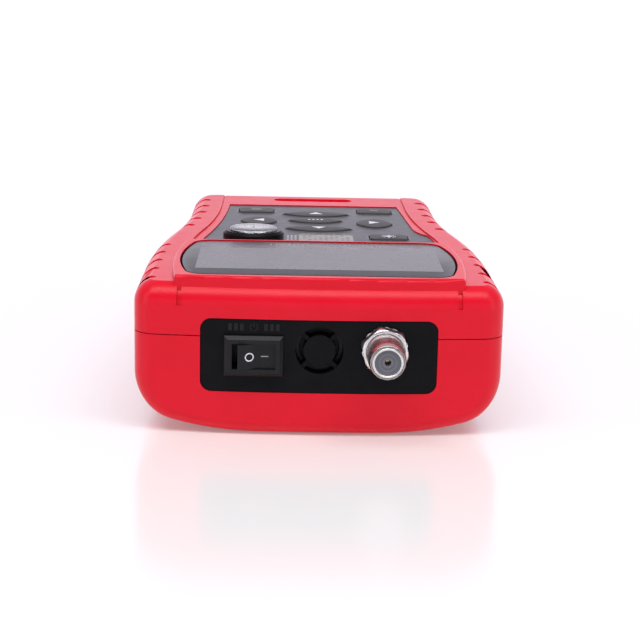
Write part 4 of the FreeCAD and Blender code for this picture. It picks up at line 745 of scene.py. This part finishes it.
def make_socket():
    lo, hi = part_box("socket_insulator")
    x, z = (lo.x + hi.x) / 2, (lo.z + hi.z) / 2
    centre = (x, z)
    bore = (hi.x - lo.x) / 2
    body_lo, body_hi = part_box("socket_body")
    flange = (body_hi.x - body_lo.x) / 2
    tip = body_lo.y
    heel = body_hi.y
    washer_lo, washer_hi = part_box("lock_washer")
    nut_lo, nut_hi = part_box("socket_nut")
    # half the nut's width across flats, and the 3/8-32 thread's radius, pitch and shown depth
    half_flats = 5.6 * MM
    thread = 4.7625 * MM
    pitch = 0.794 * MM
    depth = 0.30 * MM
    flange_thick = 1.2 * MM
    threaded = 3.4 * MM
    end = nut_lo.y - threaded

    def thread_radius(y, a):
        """A 60-degree thread, fading out towards the smooth collar."""
        phase = (y / pitch - a / (2 * math.pi)) % 1.0
        tooth = abs(2 * phase - 1)
        fade = min(1.0, max(0.0, (y - end) / (0.8 * MM)))
        return thread - depth * (1 - tooth) * fade

    start = heel - flange_thick
    levels = [(heel, bore + 0.02 * MM), (heel, flange), (start, flange)]
    count = 76
    levels.append((start, thread))
    for i in range(count + 1):
        y = start + (end - start) * i / count
        levels.append((y, lambda a, y=y: thread_radius(y, a)))
    nose = 3.82 * MM
    lip = 4.34 * MM
    for i in range(1, 9):
        t = i / 8
        levels.append((end + (tip + 1.3 * MM - end) * (0.5 + 0.5 * t),
                       thread - (thread - lip - 0.06 * MM) * (1 - math.sqrt(1 - t * t))))
    levels.append((tip + 0.62 * MM, lip))
    for i in range(1, 7):
        a = math.radians(30 * i)
        levels.append((tip + 0.62 * MM - 0.14 * MM * math.sin(a),
                       lip - 0.07 * MM * (1 - math.cos(a))))
    levels += [(tip + 0.95 * MM, nose + 0.12 * MM), (tip + 0.95 * MM, nose),
               (tip + 0.35 * MM, nose)]
    for i in range(1, 13):
        a = math.radians(15 * i)
        levels.append((tip + 0.30 * MM - 0.30 * MM * math.sin(a),
                       (nose + bore) / 2 + (nose - bore) / 2 * math.cos(a)))
    levels.append((tip + 0.6 * MM, bore + 0.02 * MM))
    body = turned("socket_shell", centre, levels, "nickel", steps=120, smooth=50)
    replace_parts(body, "socket_body")

    turn = math.radians(-14)
    foot, head = nut_hi.y, nut_lo.y

    def nut_radius(a, crown):
        inside = (a - turn) % math.radians(60) - math.radians(30)
        return min(half_flats / math.cos(inside), crown)

    corner = half_flats / math.cos(math.radians(30))
    bore_nut = thread + 0.06 * MM
    nut = [(foot, bore_nut)]
    for rise, crown in ((0.0, 0.925), (0.10, 0.945), (0.22, 0.965)):
        nut.append((foot - rise * MM, lambda a, c=crown: nut_radius(a, corner * c)))
    for i in range(13):
        t = i / 12
        y = head + 1.5 * MM * (1 - t)
        crown = corner * (0.965 - 0.135 * (1 - math.sqrt(1 - t * t)) - 0.02 * t)
        nut.append((y, lambda a, c=crown: nut_radius(a, c)))
    nut += [(head - 0.02 * MM, lambda a: nut_radius(a, corner * 0.79)),
            (head - 0.02 * MM, bore_nut + 0.25 * MM), (head + 0.2 * MM, bore_nut)]
    hexnut = turned("socket_hex_nut", centre, nut, "nickel", steps=180, smooth=28)
    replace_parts(hexnut, "socket_nut")

    # the washer's outer radius, and its teeth: how many, how deep and how far they twist
    outer = (washer_hi.x - washer_lo.x) / 2 - 0.2 * MM
    teeth = 14
    tooth_depth = 0.20 * MM
    tooth_twist = 0.16 * MM

    def tooth(a):
        wave = math.cos(teeth * a)
        return outer - tooth_depth * (0.5 - 0.5 * math.tanh(4 * wave))

    def twist(a, side):
        return side + tooth_twist * math.sin(teeth * a)

    back, front = washer_hi.y, washer_lo.y
    ring = [(back - 0.16 * MM, thread + 0.1 * MM), (back - 0.16 * MM, outer - 0.6 * MM),
            (lambda a: twist(a, back - 0.18 * MM), tooth),
            (lambda a: twist(a, front + 0.18 * MM), tooth),
            (front + 0.16 * MM, outer - 0.6 * MM), (front + 0.16 * MM, thread + 0.1 * MM)]
    washer = turned("socket_tooth_washer", centre, ring, "nickel", steps=168, smooth=40)
    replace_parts(washer, "lock_washer")

    # turned well at the centre of the insulator, round the contact's hole
    face = lo.y
    well = [(face + 0.02 * MM, 1.45 * MM), (face - 0.10 * MM, 1.40 * MM),
            (face - 0.12 * MM, 1.15 * MM), (face - 0.02 * MM, 0.82 * MM),
            (face + 0.02 * MM, 0.82 * MM)]
    turned("insulator_collar", centre, well, "insulator_grey", steps=64, smooth=30)


def make_vent():
    """A woven dust screen inside the sounder's cup, a little behind the vent's slots."""
    lo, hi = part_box("sounder_cup")
    x, z = (lo.x + hi.x) / 2, (lo.z + hi.z) / 2
    radius = (hi.x - lo.x) / 2 - 0.7 * MM
    screen = lo.y + 1.2 * MM
    mesh = bmesh.new()
    steps = 40
    pitch = 2 * radius / steps
    grid = {}
    for i in range(steps + 1):
        for j in range(steps + 1):
            u, v = (i - steps / 2) * pitch, (j - steps / 2) * pitch
            if math.hypot(u, v) <= radius:
                weave = 0.06 * MM * (1 if (i + j) % 2 else -1)
                grid[i, j] = mesh.verts.new((x + u, screen + weave, z + v))
    for i, j in list(grid):
        quad = [(i, j), (i + 1, j), (i + 1, j + 1), (i, j + 1)]
        if all(k in grid for k in quad):
            mesh.faces.new([grid[k] for k in quad])
    bmesh.ops.delete(mesh, geom=[v for v in mesh.verts if not v.link_faces], context="VERTS")
    bmesh.ops.solidify(mesh, geom=mesh.faces[:], thickness=0.1 * MM)
    piece("vent_screen", mesh, "tape_black")


# ---------------------------------------------------------------------------------------------
# Stage, lights and camera
# ---------------------------------------------------------------------------------------------
def make_stage():
    mesh = bpy.data.meshes.new("floor")
    size = 14.0
    mesh.from_pydata([(-size, -size, 0), (size, -size, 0), (size, size, 0), (-size, size, 0)], [],
                     [(0, 1, 2, 3)])
    n = Nodes("floor_white")
    drift = n.ramp(n.noise(0.9, 3.0), 0.0, 1.0)
    n.set(Base_Color=n.mix(drift, (0.76, 0.765, 0.75), (0.78, 0.785, 0.77)), Roughness=0.18,
          Specular_IOR_Level=1.0, Emission_Color=(1.0, 1.0, 1.0), Emission_Strength=0.17)
    mesh.materials.append(n.material)
    floor = bpy.data.objects.new("floor", mesh)
    bpy.context.scene.collection.objects.link(floor)
    floor.location.z = -0.0002


def area_light(name, place, aim, size, power):
    data = bpy.data.lights.new(name, "AREA")
    data.shape = "RECTANGLE"
    data.size, data.size_y = size
    data.energy = power
    lamp = bpy.data.objects.new(name, data)
    lamp.location = place
    lamp.rotation_euler = (Vector(aim) - Vector(place)).to_track_quat("-Z", "Y").to_euler()
    bpy.context.scene.collection.objects.link(lamp)


def make_lights():
    """A pale room: bright at the far horizon, dim overhead, a dark band above the camera and
    bright again low down on the camera's side; and three soft lamps."""
    world = bpy.data.worlds.new("studio")
    bpy.context.scene.world = world
    world.use_nodes = True
    tree = world.node_tree
    place = tree.nodes.new("ShaderNodeTexCoord")
    parts = tree.nodes.new("ShaderNodeSeparateXYZ")
    tree.links.new(place.outputs["Generated"], parts.inputs[0])
    angle = tree.nodes.new("ShaderNodeMath")
    angle.operation = "ARCTAN2"
    tree.links.new(parts.outputs["Z"], angle.inputs[0])
    tree.links.new(parts.outputs["Y"], angle.inputs[1])
    share = tree.nodes.new("ShaderNodeMapRange")
    share.inputs["From Min"].default_value = 0.0
    share.inputs["From Max"].default_value = math.pi
    tree.links.new(angle.outputs[0], share.inputs["Value"])
    ramp = tree.nodes.new("ShaderNodeValToRGB")
    stops = ramp.color_ramp
    # share of the half turn from the far horizon over the top to the near horizon
    table = [(0.0, 1.50), (0.045, 1.22), (0.060, 0.92), (0.10, 0.86), (0.18, 0.55), (0.50, 0.35),
             (0.72, 0.30), (0.78, 0.10), (0.85, 0.10), (0.90, 0.95), (0.98, 0.95), (1.0, 0.5)]
    while len(stops.elements) < len(table):
        stops.elements.new(0.5)
    for stop, (spot, level) in zip(stops.elements, table):
        stop.position = spot
        stop.color = (level * 1.02, level * 0.98, level * 1.12, 1)
    tree.links.new(share.outputs["Result"], ramp.inputs["Fac"])
    back = tree.nodes["Background"]
    tree.links.new(ramp.outputs["Color"], back.inputs["Color"])
    back.inputs["Strength"].default_value = 1.0
    area_light("overhead", (0.0, -0.45, 1.11), (0, 0, 0), (1.7, 0.5), 12.5)
    area_light("left", (-1.1, -0.5, 0.45), (0, 0, 0.02), (0.4, 0.9), 1.6)
    area_light("right", (1.1, -0.5, 0.45), (0, 0, 0.02), (0.4, 0.9), 1.6)


def make_camera():
    """The photograph's view: from just above the deck, looking at the end panel."""
    yaw, pitch, roll = math.radians(1.28), math.radians(12.97), math.radians(-1.22)
    forward = Vector((math.sin(yaw) * math.cos(pitch), math.cos(yaw) * math.cos(pitch),
                      -math.sin(pitch)))
    right = Vector((math.cos(yaw), -math.sin(yaw), 0))
    down = forward.cross(right)
    across = right * math.cos(roll) + down * math.sin(roll)
    lower = -right * math.sin(roll) + down * math.cos(roll)
    data = bpy.data.cameras.new("camera")
    data.lens = 93.7
    data.sensor_width = 36
    data.clip_start = 0.01
    camera = bpy.data.objects.new("camera", data)
    turn = Matrix((across, -lower, -forward)).transposed().to_4x4()
    camera.matrix_world = Matrix.Translation((-0.0091, -0.4872, 0.1249)) @ turn
    bpy.context.scene.collection.objects.link(camera)
    bpy.context.scene.camera = camera


paint_nodes()
make_display()
make_keypad()
make_compass()
make_switch_marks()
make_panel_marks()
make_vent()
make_socket()
make_stage()
make_lights()
make_camera()
bpy.context.scene.view_settings.view_transform = "Standard"
